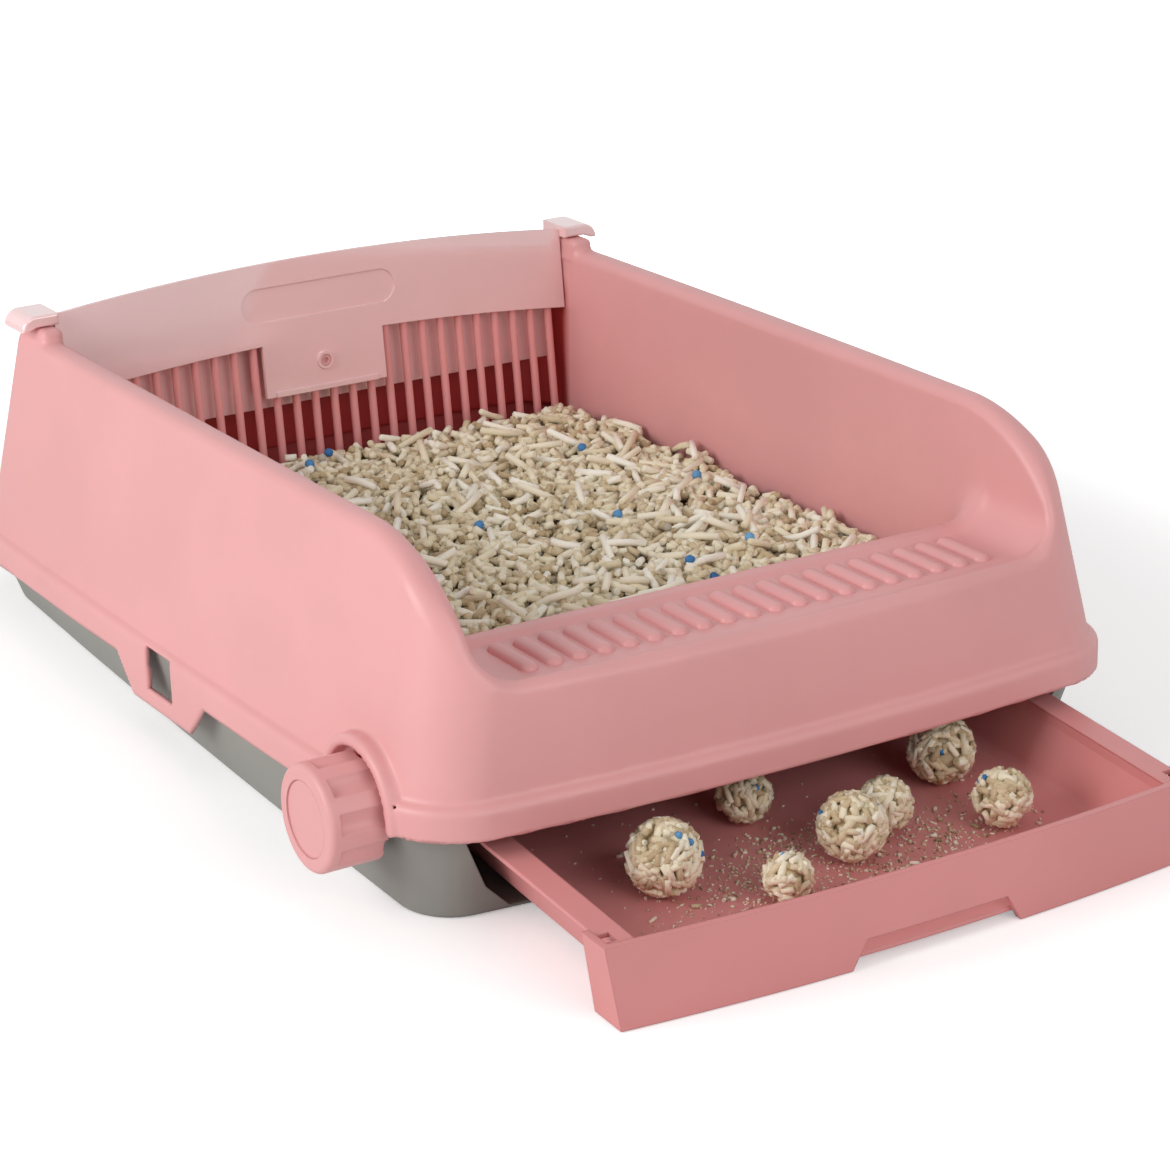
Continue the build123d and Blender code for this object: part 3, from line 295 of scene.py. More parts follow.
# ---------------------------------------------------------------- signed distances, in millimetres
WALL = dict(half=210.0, front=-273.0, back=277.0, draft=11.0, front_draft=6.0, back_draft=5.0)
SKIRT_HALF, SKIRT_FRONT, SKIRT_BACK = 215.0, -278.0, 282.0
BAND = 17.5                                     # height of the skirt's band
BOWS = (12.0, 3.4, 10.0)                        # how far the front, the sides and the back bulge
CORNER, WALL_CORNER = 40.0, 35.0
WALL_TOP = 135.5
SWEEP_START, SWEEP_RADIUS, SWEEP_TURN, SWEEP_RUN, FOOT_RADIUS = -180.0, 100.0, 58.0, 9.0, 14.0
STEP_CREST, STEP_LEAN, STEP_TOP = -198.0, 8.0, 72.2
DISH_DEPTH, DISH_MIDDLE, DISH_HALF, DISH_EDGE = 2.8, -236.0, 29.0, 7.0
DISH_BOW, DISH_BOW_HALF = 9.0, 190.0            # the dish follows the bulge of the front
INNER_HALF, INNER_BACK, INNER_DRAFT, INNER_CORNER = 172.5, 252.0, 1.0, 22.0
INNER_FRONT, INNER_BOWS = -420.0, (0.0, BOWS[1] / 2, 8.0)   # the space runs out over the step
INNER_END, INNER_CLEAR = 30.0, 6.0              # below this height the space over the pan is wider
SKIN = 3.3
THICKER, THICKER_FROM, THICKER_OVER = 1.2, 25.0, 20.0       # the skin gains this above the band
KNOB_V, KNOB_H = -216.0, 4.0
ARCH, ARCH_MIDDLE, ARCH_REACH = 36.5, 198.4, 18.0
POCKET, POCKET_FACE = 30.5, 209.4               # space for the knob, up to this far from the middle
RIM_HALF, RIM_FRONT, RIM_BACK, RIM_CORNER, RIM_TOP = 208.0, -268.0, 278.0, 30.0, 14.6
TAB_V, TAB_HALF, TAB_FOOT, TAB_DROP, TAB_TOP = 4.0, 54.0, 36.0, 19.5, 3.0
TAB_FACE = 218.3
WINDOW_HALF, WINDOW_LOW, WINDOW_HIGH, WINDOW_DEPTH = 15.0, -9.5, 15.0, 205.0
NUB_MIDDLE, NUB_HALF, NUB_FRONT, NUB_BACK, NUB_TOP = 179.4, 6.6, 208.0, 241.5, 141.9
NUB_SINK, NUB_CORE = 6.0, 1.0                   # the nub starts under the wall's top and is solid
LEANING_WALL, LEANING_STEP, LEANING_TAB = 0.985, 0.99, 0.8  # cosines that keep distances true
ROUND = dict(wall=6.5, step=4.0, nub=3.5, band=4.5, arch=3.0, pocket=1.0, foot=0.8, tab=0.6)
HOLLOW = dict(nub=2.5, band=2.0, arch=1.5)


def meet(a, b, radius):
    """Intersection with a rounded edge."""
    corner = np.hypot(np.maximum(a + radius, 0), np.maximum(b + radius, 0))
    return np.minimum(-radius, np.maximum(a, b)) + corner


def join(a, b, radius):
    """Union with a rounded hollow corner."""
    corner = np.hypot(np.maximum(radius - a, 0), np.maximum(radius - b, 0))
    return np.maximum(radius, np.minimum(a, b)) - corner


def within(value, low, high):
    """Distance to the space between two levels."""
    return np.abs(value - (low + high) / 2) - (high - low) / 2


def tangent(degrees):
    return math.tan(math.radians(degrees))


def bowed(x, v, half, front, back, bows, radius):
    """Distance to a rounded rectangle with bowed sides."""
    middle, reach = (front + back) / 2, (back - front) / 2
    along = np.clip((v - middle) / reach, -1, 1)
    across = np.clip(x / half, -1, 1)
    bulge = np.where(v < middle, bows[0], bows[2]) * (1 - across ** 2)
    qx = np.abs(x) - bows[1] * (1 - along ** 2) - half + radius
    qv = np.abs(v - middle) - bulge - reach + radius
    outside = np.hypot(np.maximum(qx, 0), np.maximum(qv, 0))
    return np.minimum(np.maximum(qx, qv), 0) + outside - radius


def sweep_height(v):
    """Height of the side walls' top edge, and the cosine of its slope."""
    turn = math.radians(SWEEP_TURN)
    arc_end = SWEEP_START - SWEEP_RADIUS * math.sin(turn)
    arc_low = WALL_TOP - SWEEP_RADIUS * (1 - math.cos(turn))
    run_end = arc_end - SWEEP_RUN * math.cos(turn)
    run_low = arc_low - SWEEP_RUN * math.sin(turn)
    foot_end = run_end - FOOT_RADIUS * math.sin(turn)
    foot_low = run_low - FOOT_RADIUS * (1 - math.cos(turn))
    into = np.clip(SWEEP_START - v, 0, SWEEP_START - arc_end)
    height = WALL_TOP - (SWEEP_RADIUS - np.sqrt(SWEEP_RADIUS ** 2 - into ** 2))
    height = np.where(v < arc_end, arc_low - (arc_end - v) * math.tan(turn), height)
    rest = np.clip(v - foot_end, 0, FOOT_RADIUS * math.sin(turn))
    foot = foot_low + FOOT_RADIUS - np.sqrt(FOOT_RADIUS ** 2 - rest ** 2)
    height = np.where(v < run_end, foot, height)
    sine = np.where(v < run_end, rest / FOOT_RADIUS, into / SWEEP_RADIUS)
    return height, np.sqrt(1 - sine ** 2)


def step_height(x, v):
    """Top of the front step: a shallow dish between a front and a rear lip."""
    bow = DISH_BOW * (1 - (x / DISH_BOW_HALF) ** 2) * (v < DISH_MIDDLE)
    t = np.clip((DISH_HALF - np.abs(v - DISH_MIDDLE + bow)) / DISH_EDGE, 0, 1)
    return STEP_TOP - DISH_DEPTH * t * t * (3 - 2 * t)


def step_distance(x, v, h):
    """The front step, behind whose crest the litter's space begins."""
    rear = (v - STEP_CREST - (STEP_TOP - h) * tangent(STEP_LEAN)) * LEANING_STEP
    return meet(h - step_height(x, v), rear, ROUND["step"])


def body_distance(x, v, h):
    """Outer form of the shell, open downwards, the space over litter and step, and the nubs."""
    rise = h - BAND
    wall = bowed(
        x, v,
        WALL["half"] - rise * tangent(WALL["draft"]),
        WALL["front"] + rise * tangent(WALL["front_draft"]),
        WALL["back"] - rise * tangent(WALL["back_draft"]),
        BOWS, WALL_CORNER,
    ) * LEANING_WALL
    height, slope = sweep_height(v)
    wall = meet(wall, (h - height) * slope, ROUND["wall"])
    draw_in = (WALL_TOP - h) * tangent(INNER_DRAFT)
    half, back = INNER_HALF - draw_in, INNER_BACK - draw_in
    inner = bowed(x, v, half, INNER_FRONT, back, INNER_BOWS, INNER_CORNER)
    space = meet(inner, -step_distance(x, v, h), INNER_CORNER)
    body = meet(wall, -space, ROUND["wall"])
    nub = meet(np.abs(np.abs(x) - NUB_MIDDLE) - NUB_HALF, h - NUB_TOP, ROUND["nub"])
    nub = meet(nub, within(v, NUB_FRONT, NUB_BACK), ROUND["nub"])
    nub = np.maximum(nub, WALL_TOP - NUB_SINK - h)
    body = join(body, nub, HOLLOW["nub"])
    band = bowed(x, v, SKIRT_HALF, SKIRT_FRONT, SKIRT_BACK, BOWS, CORNER)
    body = join(body, meet(band, h - BAND, ROUND["band"]), HOLLOW["band"])
    from_axis = np.hypot(v - KNOB_V, h - KNOB_H)
    arch = meet(from_axis - ARCH, np.abs(x + ARCH_MIDDLE) - ARCH_REACH, ROUND["arch"])
    body = join(body, arch, HOLLOW["arch"])
    pocket = np.where(h > KNOB_H, from_axis, np.abs(v - KNOB_V)) - POCKET
    body = meet(body, -np.maximum(pocket, x + POCKET_FACE), ROUND["pocket"])
    return body, space, nub


def tab_distance(x, v, h):
    """The tab that hangs from each side of the skirt, narrower at its foot."""
    down = np.clip(-h / TAB_DROP, 0, 1)
    half = TAB_HALF + (TAB_FOOT - TAB_HALF) * down
    tab = np.maximum(np.abs(v - TAB_V) - half, -h - TAB_DROP) * LEANING_TAB
    tab = np.maximum(tab, h - TAB_TOP)
    return meet(tab, np.abs(np.abs(x) - TAB_FACE + SKIN / 2) - SKIN / 2, ROUND["tab"])


def shell_distance(x, v, h):
    """The shell as moulded: a skin open at the bottom, with the side tabs and their windows."""
    body, space, nub = body_distance(x, v, h)
    thicker = THICKER * np.clip((h - THICKER_FROM) / THICKER_OVER, 0, 1)
    shell = np.maximum(body, -(body + SKIN + thicker))
    shell = np.minimum(shell, nub + NUB_CORE)
    shell = meet(shell, -h, ROUND["foot"])
    shell = np.maximum(shell, -np.maximum(space - INNER_CLEAR, h - INNER_END))
    rim_room = bowed(x, v, RIM_HALF, RIM_FRONT, RIM_BACK, BOWS, RIM_CORNER)
    shell = np.maximum(shell, -np.maximum(rim_room, h - RIM_TOP))
    shell = np.minimum(shell, tab_distance(x, v, h))
    window = np.maximum(np.abs(v - TAB_V) - WINDOW_HALF, within(h, WINDOW_LOW, WINDOW_HIGH))
    return np.maximum(shell, -np.maximum(window, WINDOW_DEPTH - np.abs(x)))


# ---------------------------------------------------------------- surface of a distance field
CORNERS = np.array([(i & 1, i >> 1 & 1, i >> 2 & 1) for i in range(8)])
EDGES = [(i, i + step) for step in (1, 2, 4) for i in range(8) if not i & step]


def surface_of(distance, low, high, cell):
    """Quads on the zero level of a distance function, one vertex in each cell that it crosses."""
    axes = [np.arange(a, b + cell, cell, dtype=np.float32) for a, b in zip(low, high)]
    shape = tuple(len(a) for a in axes)
    field = np.empty(shape, np.float32)
    for i, x in enumerate(axes[0]):
        field[i] = distance(np.float32(x), axes[1][:, None], axes[2][None, :])
    inside = field < 0
    count = np.zeros(tuple(n - 1 for n in shape), np.int8)
    for cx, cy, cz in CORNERS:
        count += inside[cx:shape[0] - 1 + cx, cy:shape[1] - 1 + cy, cz:shape[2] - 1 + cz]
    cells = np.argwhere((count > 0) & (count < 8))
    index = np.full(count.shape, -1, np.int32)
    index[tuple(cells.T)] = np.arange(len(cells), dtype=np.int32)
    corner = np.stack([field[tuple((cells + c).T)] for c in CORNERS], 1)
    total, hits = np.zeros((len(cells), 3)), np.zeros(len(cells))
    for a, b in EDGES:
        fa, fb = corner[:, a], corner[:, b]
        cut = (fa < 0) != (fb < 0)
        share = np.where(cut, fa / np.where(cut, fa - fb, 1), 0)[:, None]
        total += np.where(cut[:, None], CORNERS[a] + (CORNERS[b] - CORNERS[a]) * share, 0)
        hits += cut
    points = (cells + total / hits[:, None]) * cell + np.array([a[0] for a in axes])
    quads = []
    for axis in range(3):
        one, two = (axis + 1) % 3, (axis + 2) % 3
        near = [slice(1, n - 1) for n in shape]
        near[axis] = slice(0, shape[axis] - 1)
        far = list(near)
        far[axis] = slice(1, shape[axis])
        change = inside[tuple(near)] != inside[tuple(far)]
        at = np.argwhere(change) + np.array([0 if k == axis else 1 for k in range(3)])
        outward = inside[tuple(near)][change]
        ring = []
        for d_one, d_two in ((0, 0), (-1, 0), (-1, -1), (0, -1)):
            shifted = at.copy()
            shifted[:, one] += d_one
            shifted[:, two] += d_two
            ring.append(index[tuple(shifted.T)])
        ring = np.stack(ring, 1)
        ring[~outward] = ring[~outward][:, ::-1]
        quads.append(ring)
    return points, np.concatenate(quads)


LEAST_SLOPE, LONGEST_STEP = 0.3, 0.8            # keep the moves small near sharp edges


def settle(distance, points, turns=3, reach=0.25):
    """Moves points onto the zero level along the field's slope."""
    for _ in range(turns):
        x, v, h = points.T
        value = distance(x, v, h)
        slope = np.stack([
            distance(x + reach, v, h) - distance(x - reach, v, h),
            distance(x, v + reach, h) - distance(x, v - reach, h),
            distance(x, v, h + reach) - distance(x, v, h - reach),
        ], 1) / (2 * reach)
        size = np.maximum((slope ** 2).sum(1), LEAST_SLOPE)
        points = points - slope * np.clip(value / size, -LONGEST_STEP, LONGEST_STEP)[:, None]
    return points


FIELD_LOW, FIELD_HIGH = (-222, -298, -22), (222, 300, 144)
CELL = 1.8
# Where the shell's walls behind the comb get painted shade, a deeper red
SHADE_FRONT, SHADE_TOP = 214.0, 120.0
SHADE_HALF, SHADE_BACK = INNER_HALF + 3.0, INNER_BACK + 9.5
SHADE_FADE = dict(front=10.0, top=16.0, side=1.5)           # how softly the painted shade begins


def painted_shade_behind_comb(x, v, h):
    """Share of the painted shade, a deeper red: full on the walls behind the comb, none elsewhere.
    """
    share = np.clip((v - SHADE_FRONT) / SHADE_FADE["front"], 0, 1)
    share = share * np.clip((SHADE_TOP - h) / SHADE_FADE["top"], 0, 1)
    side = np.clip((SHADE_HALF - np.abs(x)) / SHADE_FADE["side"], 0, 1)
    return share * (side * (v < SHADE_BACK))


points, quads = surface_of(shell_distance, FIELD_LOW, FIELD_HIGH, CELL)
points = settle(shell_distance, points)
shell = grid_object("shell", to_world(points), quads)
shell.data.materials.append(SHELL_FACE)
# The 'pocket' attribute carries the painted shade behind the comb
shade = shell.data.attributes.new("pocket", "FLOAT", "POINT")
shade.data.foreach_set("value", painted_shade_behind_comb(*points.T).astype(np.float32))
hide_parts("upper_shell")
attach(shell, "shell")

# ---------------------------------------------------------------- ribs on the step
RIB_COUNT, RIB_PITCH, RIB_LENGTH, RIB_WIDTH = 20, 14.4, 40.0, 10.4
RIB_V, RIB_RISE, RIB_SINK = -236.0, 4.6, 1.2
RIB_RINGS, RIB_SPOKES, RIB_CROWN = 7, 32, 0.75  # a smaller crown makes the rib's section squarer


def rib(x):
    """Long dome with rounded ends, standing on the step."""
    half = (RIB_LENGTH - RIB_WIDTH) / 2
    rows = []
    for k in range(RIB_RINGS):
        angle = k / (RIB_RINGS - 1) * math.pi / 2
        radius = RIB_WIDTH / 2 * math.cos(angle) ** RIB_CROWN
        lift = RIB_RISE * math.sin(angle) - RIB_SINK
        for j in range(RIB_SPOKES):
            turn = 2 * math.pi * j / RIB_SPOKES
            end = half if j < RIB_SPOKES / 2 else -half
            px, v = x + radius * math.cos(turn), RIB_V + end + radius * math.sin(turn)
            rows.append((px, v, float(step_height(px, v)) + lift))
    return rows


all_points, all_faces = [], []
for i in range(RIB_COUNT):
    start = len(all_points)
    all_points += rib((i - (RIB_COUNT - 1) / 2) * RIB_PITCH)
    all_faces += [tuple(start + k for k in f) for f in tube_faces(RIB_RINGS, RIB_SPOKES)]
ribs = mesh_object("step_ribs", to_world(all_points), all_faces)
ribs.data.materials.append(SHELL_FACE)
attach(ribs, "shell")


# ---------------------------------------------------------------- pellets
class Pile:
    """Collects many small rods, beads and chips into one mesh, each with its own tone."""

    def __init__(self):
        self.points, self.faces, self.tones, self.slots, self.total = [], [], [], [], 0

    def add(self, shape, tone, slot):
        points, faces = shape
        self.points.append(points)
        self.faces += [tuple(self.total + k for k in f) for f in faces]
        self.slots += [slot] * len(faces)
        self.tones.append(np.full(len(points), tone))
        self.total += len(points)

    def build(self, name, materials, world=True):
        """One object; a face's slot picks its material, and world tells points in x, v, h."""
        points = np.concatenate(self.points)
        points = to_world(points) if world else points * MM
        piece = mesh_object(name, points, self.faces)
        for material in materials:
            piece.data.materials.append(material)
        piece.data.polygons.foreach_set("material_index", np.array(self.slots, np.int32))
        tone = piece.data.attributes.new("tone", "FLOAT", "POINT")
        tone.data.foreach_set("value", np.concatenate(self.tones).astype(np.float32))
        return piece


ROD_SIDES = 8
ROD_RINGS = ((0.0, 0.55), (0.012, 0.96), (0.5, 1.0), (0.988, 0.96), (1.0, 0.55))    # share, size
ROD_BEND, ROD_UNEVEN = 0.02, 0.03
LUMP_RINGS, LUMP_SPOKES, LUMP_UNEVEN, LUMP_TWIST = 5, 8, 0.07, 0.3


def rod(start, end, radius, ragged=0.12):
    """Pressed pellet between two points, a little uneven and broken at its ends."""
    start, end = np.asarray(start, float), np.asarray(end, float)
    along = end - start
    length = np.linalg.norm(along)
    along = along / length
    side = np.cross(along, (0.0, 0.0, 1.0) if abs(along[2]) < 0.9 else (1.0, 0.0, 0.0))
    side /= np.linalg.norm(side)
    up = np.cross(side, along)
    turns = np.arange(ROD_SIDES) * 2 * math.pi / ROD_SIDES
    bend = rng.normal(0, ROD_BEND * length)
    rows = []
    for share, size in ROD_RINGS:
        r = radius * size * (1 + rng.normal(0, ROD_UNEVEN, ROD_SIDES))
        slant = rng.normal(0, ragged * radius, ROD_SIDES) if share in (0.0, 1.0) else 0
        centre = start + along * (share * length) + up * bend * math.sin(math.pi * share)
        ring = centre + np.outer(r * np.cos(turns), side) + np.outer(r * np.sin(turns), up)
        rows.append(ring + np.outer(np.broadcast_to(slant, ROD_SIDES), along))
    count = len(ROD_RINGS) * ROD_SIDES
    ends = [tuple(range(ROD_SIDES))[::-1], tuple(range(count - ROD_SIDES, count))]
    return np.concatenate(rows), ends + tube_faces(len(ROD_RINGS), ROD_SIDES)


def lump(centre, radius, squash=1.0):
    """Rough little ball."""
    rings, spokes = LUMP_RINGS, LUMP_SPOKES
    rows = []
    for k in range(rings):
        polar = math.pi * (k + 0.5) / rings
        r = radius * (1 + rng.normal(0, LUMP_UNEVEN, spokes))
        turns = np.arange(spokes) * 2 * math.pi / spokes + k * LUMP_TWIST
        rows.append(np.stack([
            r * math.sin(polar) * np.cos(turns),
            r * math.sin(polar) * np.sin(turns),
            r * math.cos(polar) * squash,
        ], 1) + centre)
    ends = [tuple(range(spokes)), tuple(range((rings - 1) * spokes, rings * spokes))[::-1]]
    sides = [(f[0], *f[:0:-1]) for f in tube_faces(rings, spokes)]      # rings run downwards
    return np.concatenate(rows), ends + sides


BED_HALF, BED_FRONT, BED_BACK, BED_CORNER = 168.5, -191.5, 205.0, 22.0
BED_FOOT, BED_UNDER, BED_TOP = 19.6, 25.0, 43.4
UNDER_SHADE_RISE = 9.8                                 # top of the dark sheet under the pellets, over BED_UNDER; the sheet is painted shade
EDGE_ROOM, WALL_ROOM = 4.0, 1.5                 # from the bed's edge to a middle, and to an end
CORNER_SHARE, CORNER_STEP = 0.6, 3.0            # nearer to a front corner, pellets follow it
PELLET_RADIUS, PELLET_SPREAD = 2.1, (0.88, 1.12)
LENGTH_SHAPE, LENGTH_SCALE, SHORTEST, LONGEST = 4.6, 3.5, 7.0, 30.0
PELLETS, TRIES = ((4300, 4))
GRANULE_SHARE, GRANULE_RADII, GRANULE_SQUASH = 0.27, (2.0, 3.1), 0.9
STEEP_SHARE, STEEP_LONGEST, STEEP_PITCH, STEEP_SINK = 0.07, 13.0, (28, 75), 0.2
CREST_PERCENT, BURIED, STANDING = 97, 2.0, 4.5  # pellets further up or down aren't kept
SHADE_PER_MM, SHADE_DEPTH = 0.028, 10.0         # deeper pellets are painted darker, as painted shade
GRANULE_TONES, PELLET_TONES, FILLER_TONES = (0.3, 0.9), (0.34, 0.92), (0.10, 0.62)
FILLERS, FILLER_HEIGHTS = 5600, (33.0, 39.4)    # broken pellets between and under the top ones; their low tones are painted shade
FILLER_LENGTHS, FILLER_TILT = (4.5, 9.0), 0.5
ROD, GRAIN, BALL = 0, 1, 2                      # what lies there, and its slot in the materials
BEAD_RADIUS, BEAD_RISE, BEAD_REACH = 3.0, 0.3, 3
BEADS = (                                       # x, v of the blue beads that lie on top
    (-38.0, 171.0), (17.0, 73.0), (-7.0, 23.0), (64.0, -12.0), (141.0, 23.0), (53.0, -103.0),
    (58.0, -119.0), (98.0, -95.0), (117.0, 113.0), (-20.0, 181.0), (12.0, -165.0),
)


class Ground:
    """Height of what has been dropped so far, on a 1 mm grid."""
    FELT = (-1.2, 0.0, 1.2)                     # where a rod touches the ground, across its middle
    PRINT = ((-1.0, 1.5), (0.0, 2.0), (1.0, 1.5))           # its top: place across, rise in radii
    DEEPEST_FALL, BALL_RISE = -0.55, 1.6

    def __init__(self):
        self.h = np.full((int(2 * BED_HALF) + 1, int(BED_BACK - BED_FRONT) + 1), BED_UNDER)

    def cell(self, x, v):
        """Grid indices of places."""
        i = np.clip(np.round(x + BED_HALF).astype(int), 0, self.h.shape[0] - 1)
        j = np.clip(np.round(v - BED_FRONT).astype(int), 0, self.h.shape[1] - 1)
        return i, j

    def level(self, x, v, yaw, length):
        """Mean height under a rod."""
        s = np.linspace(-length / 2, length / 2, 7)
        return self.h[self.cell(x + s * math.cos(yaw), v + s * math.sin(yaw))].mean()

    def rest(self, x, v, yaw, length, radius):
        """Ends of a rod that comes to rest on two supports."""
        s = np.linspace(-length / 2, length / 2, 11)
        c, d = math.cos(yaw), math.sin(yaw)
        px, pv = x + s * c, v + s * d
        under = np.max([self.h[self.cell(px - w * d, pv + w * c)] for w in self.FELT], 0)
        top = int(np.argmax(under))
        longer = s > s[top] if s[top] < 0 else s < s[top]
        tilt = 0.0
        if longer.any():
            slopes = (under[longer] - under[top]) / np.abs(s[longer] - s[top])
            tilt = max(slopes.max(), self.DEEPEST_FALL) * (1 if s[top] < 0 else -1)
        line = under[top] + (s - s[top]) * tilt
        for w, lift in self.PRINT:
            i, j = self.cell(px - w * d, pv + w * c)
            self.h[i, j] = np.maximum(self.h[i, j], line + lift * radius)
        low, high = line[0] + radius, line[-1] + radius
        return (px[0], pv[0], low), (px[-1], pv[-1], high)

    def around(self, x, v, reach):
        """The part of the grid around a place."""
        i, j = self.cell(x, v)
        return self.h[i - reach:i + reach + 1, j - reach:j + reach + 1]

    def drop_ball(self, x, v, radius):
        """Height of a ball's middle when it lies there."""
        base = float(self.h[self.cell(x, v)])
        self.around(x, v, int(radius))[:] = base + self.BALL_RISE * radius
        return base + radius


def in_corner(x, v):
    """How far a place lies into the bed's rounded front corners: across, forward and as a share."""
    dx, dv = np.abs(x) - (BED_HALF - BED_CORNER), BED_FRONT + BED_CORNER - v
    return dx, dv, np.where((dx > 0) & (dv > 0), np.hypot(dx, dv) / BED_CORNER, 0.0)


def pull_in(x, v):
    """Moves places in the bed's front corners inside their rounding."""
    dx, dv, share = in_corner(x, v)
    out = np.maximum(share, 1.0)
    return x - np.sign(x) * dx * (1 - 1 / out), v + dv * (1 - 1 / out)


def drop_place(length):
    """Random place and direction for a pellet; beside a wall it turns until it fits."""
    x = rng.uniform(EDGE_ROOM - BED_HALF, BED_HALF - EDGE_ROOM)
    v = rng.uniform(BED_FRONT + EDGE_ROOM, BED_BACK - EDGE_ROOM)
    yaw = rng.uniform(0, math.pi)
    room_x = 2 * (BED_HALF - WALL_ROOM - abs(x)) / length
    room_v = 2 * (min(v - BED_FRONT, BED_BACK - v) - WALL_ROOM) / length
    if abs(math.cos(yaw)) > room_x:
        yaw = math.acos(room_x * rng.choice((-1, 1)))
    if abs(math.sin(yaw)) > room_v:
        yaw = math.asin(room_v)
        inside = BED_HALF - WALL_ROOM - length / 2
        x = min(max(x, -inside), inside)
    dx, dv, share = in_corner(x, v)
    if share > CORNER_SHARE:
        x, v = pull_in(x, v + CORNER_STEP)
        yaw = math.atan2(math.copysign(dx, x), dv)
    return float(x), float(v), yaw


def steep(ground, x, v, yaw, length):
    """Ends of a pellet that stuck at a steep angle between the others."""
    pitch = math.radians(rng.uniform(*STEEP_PITCH))
    middle = float(ground.h[ground.cell(x, v)]) + STEEP_SINK * length * math.sin(pitch)
    reach, rise = length / 2 * math.cos(pitch), length / 2 * math.sin(pitch)
    dx, dv = reach * math.cos(yaw), reach * math.sin(yaw)
    side = rng.choice((-1, 1))
    return (x - dx, v - dv, middle - side * rise), (x + dx, v + dv, middle + side * rise)


def drop_pellets():
    """Drops pellets one by one into low places, then the beads.

    Each row holds what it is, its two ends (or its middle and None) and its radius.
    """
    ground, dropped = Ground(), []
    for k in range(PELLETS):
        length = float(np.clip(rng.gamma(LENGTH_SHAPE, LENGTH_SCALE), SHORTEST, LONGEST))
        places = [drop_place(length) for _ in range(TRIES)]
        x, v, yaw = min(places, key=lambda p: ground.level(*p, length))
        chance = rng.uniform()
        radius = PELLET_RADIUS * rng.uniform(*PELLET_SPREAD)
        if chance < GRANULE_SHARE:
            radius = rng.uniform(*GRANULE_RADII)
            dropped.append((GRAIN, (x, v, ground.drop_ball(x, v, radius)), None, radius))
        elif chance < GRANULE_SHARE + STEEP_SHARE:
            ends = steep(ground, x, v, yaw, min(length, STEEP_LONGEST))
            dropped.append((ROD, *ends, radius))
        else:
            dropped.append((ROD, *ground.rest(x, v, yaw, length, PELLET_RADIUS), radius))
    for x, v in BEADS:
        top = float(ground.around(x, v, BEAD_REACH).max())
        dropped.append((BALL, (x, v, top + BEAD_RISE * BEAD_RADIUS), None, BEAD_RADIUS))
    return dropped


def press_down(pile, dropped):
    """Adds what was dropped, pressed together so that its crests lie at the bed's level."""
    crest = np.percentile([start[2] for kind, start, end, radius in dropped], CREST_PERCENT)
    press = (BED_TOP - BED_UNDER) / (crest - BED_UNDER)
    for kind, start, end, radius in dropped:
        low = BED_UNDER + (start[2] - BED_UNDER) * press
        high = low if end is None else BED_UNDER + (end[2] - BED_UNDER) * press
        top = max(low, high)
        if not BED_UNDER + BURIED < top < BED_TOP + STANDING:
            continue
        # Painted shade: the deeper a pellet lies, the darker its tone
        shade = SHADE_PER_MM * min(max(BED_TOP - top, 0.0), SHADE_DEPTH)
        if kind == ROD:
            shape = rod((start[0], start[1], low), (end[0], end[1], high), radius)
            pile.add(shape, rng.uniform(*PELLET_TONES) - shade, ROD)
        else:
            shape = lump(np.array([start[0], start[1], low]), radius, GRANULE_SQUASH)
            pile.add(shape, rng.uniform(*GRANULE_TONES) - shade, kind)


def add_fillers(pile):
    """Adds broken pellets that close the gaps between the others."""
    for k in range(FILLERS):
        length = rng.uniform(*FILLER_LENGTHS)
        x, v, yaw = drop_place(length + 2 * WALL_ROOM)
        pitch = rng.normal(0, FILLER_TILT)
        along = 0.5 * length * np.array([
            math.cos(pitch) * math.cos(yaw), math.cos(pitch) * math.sin(yaw), math.sin(pitch)
        ])
        centre = np.array([x, v, rng.uniform(*FILLER_HEIGHTS)])
        shape = rod(centre - along, centre + along, PELLET_RADIUS)
        # Low tones: painted shade for the pellets in the gaps
        pile.add(shape, rng.uniform(*FILLER_TONES), ROD)


pile = Pile()
press_down(pile, drop_pellets())
add_fillers(pile)
litter = pile.build("litter_pellets", (PELLET, GRANULE, BEAD))
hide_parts("litter_bed")
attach(litter, "base")


def slab(name, low, high, rows, columns, relief):
    """Closed block whose top is a rough field."""
    xs, vs = np.linspace(low[0], high[0], columns), np.linspace(low[1], high[1], rows)
    gx, gv = pull_in(*np.meshgrid(xs, vs, indexing="ij"))
    tops = high[2] - relief * rng.uniform(0, 1, gx.shape)
    top = np.stack([gx.ravel(), gv.ravel(), tops.ravel()], 1)
    foot = top.copy()
    foot[:, 2] = low[2]
    n = len(top)
    faces = []
    for i in range(columns - 1):
        for j in range(rows - 1):
            a, b = i * rows + j, (i + 1) * rows + j
            faces.append((a, b, b + 1, a + 1))
            faces.append((n + a, n + a + 1, n + b + 1, n + b))
    rim = [i * rows for i in range(columns)] + [(columns - 1) * rows + j for j in range(1, rows)]
    rim += [i * rows + rows - 1 for i in range(columns - 2, -1, -1)] + list(range(rows - 2, 0, -1))
    for a, b in zip(rim, rim[1:] + rim[:1]):
        faces.append((a, n + a, n + b, b))
    return mesh_object(name, to_world(np.concatenate([top, foot])), faces)


# The dark sheet under the pellets: painted shade in their gaps
under_litter = slab(
    "under_litter", (-BED_HALF, BED_FRONT, BED_FOOT), (BED_HALF, BED_BACK, BED_UNDER + UNDER_SHADE_RISE),
    rows=150, columns=130, relief=4.0,
)
under_litter.data.materials.append(UNDER_SHADE)
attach(under_litter, "base")

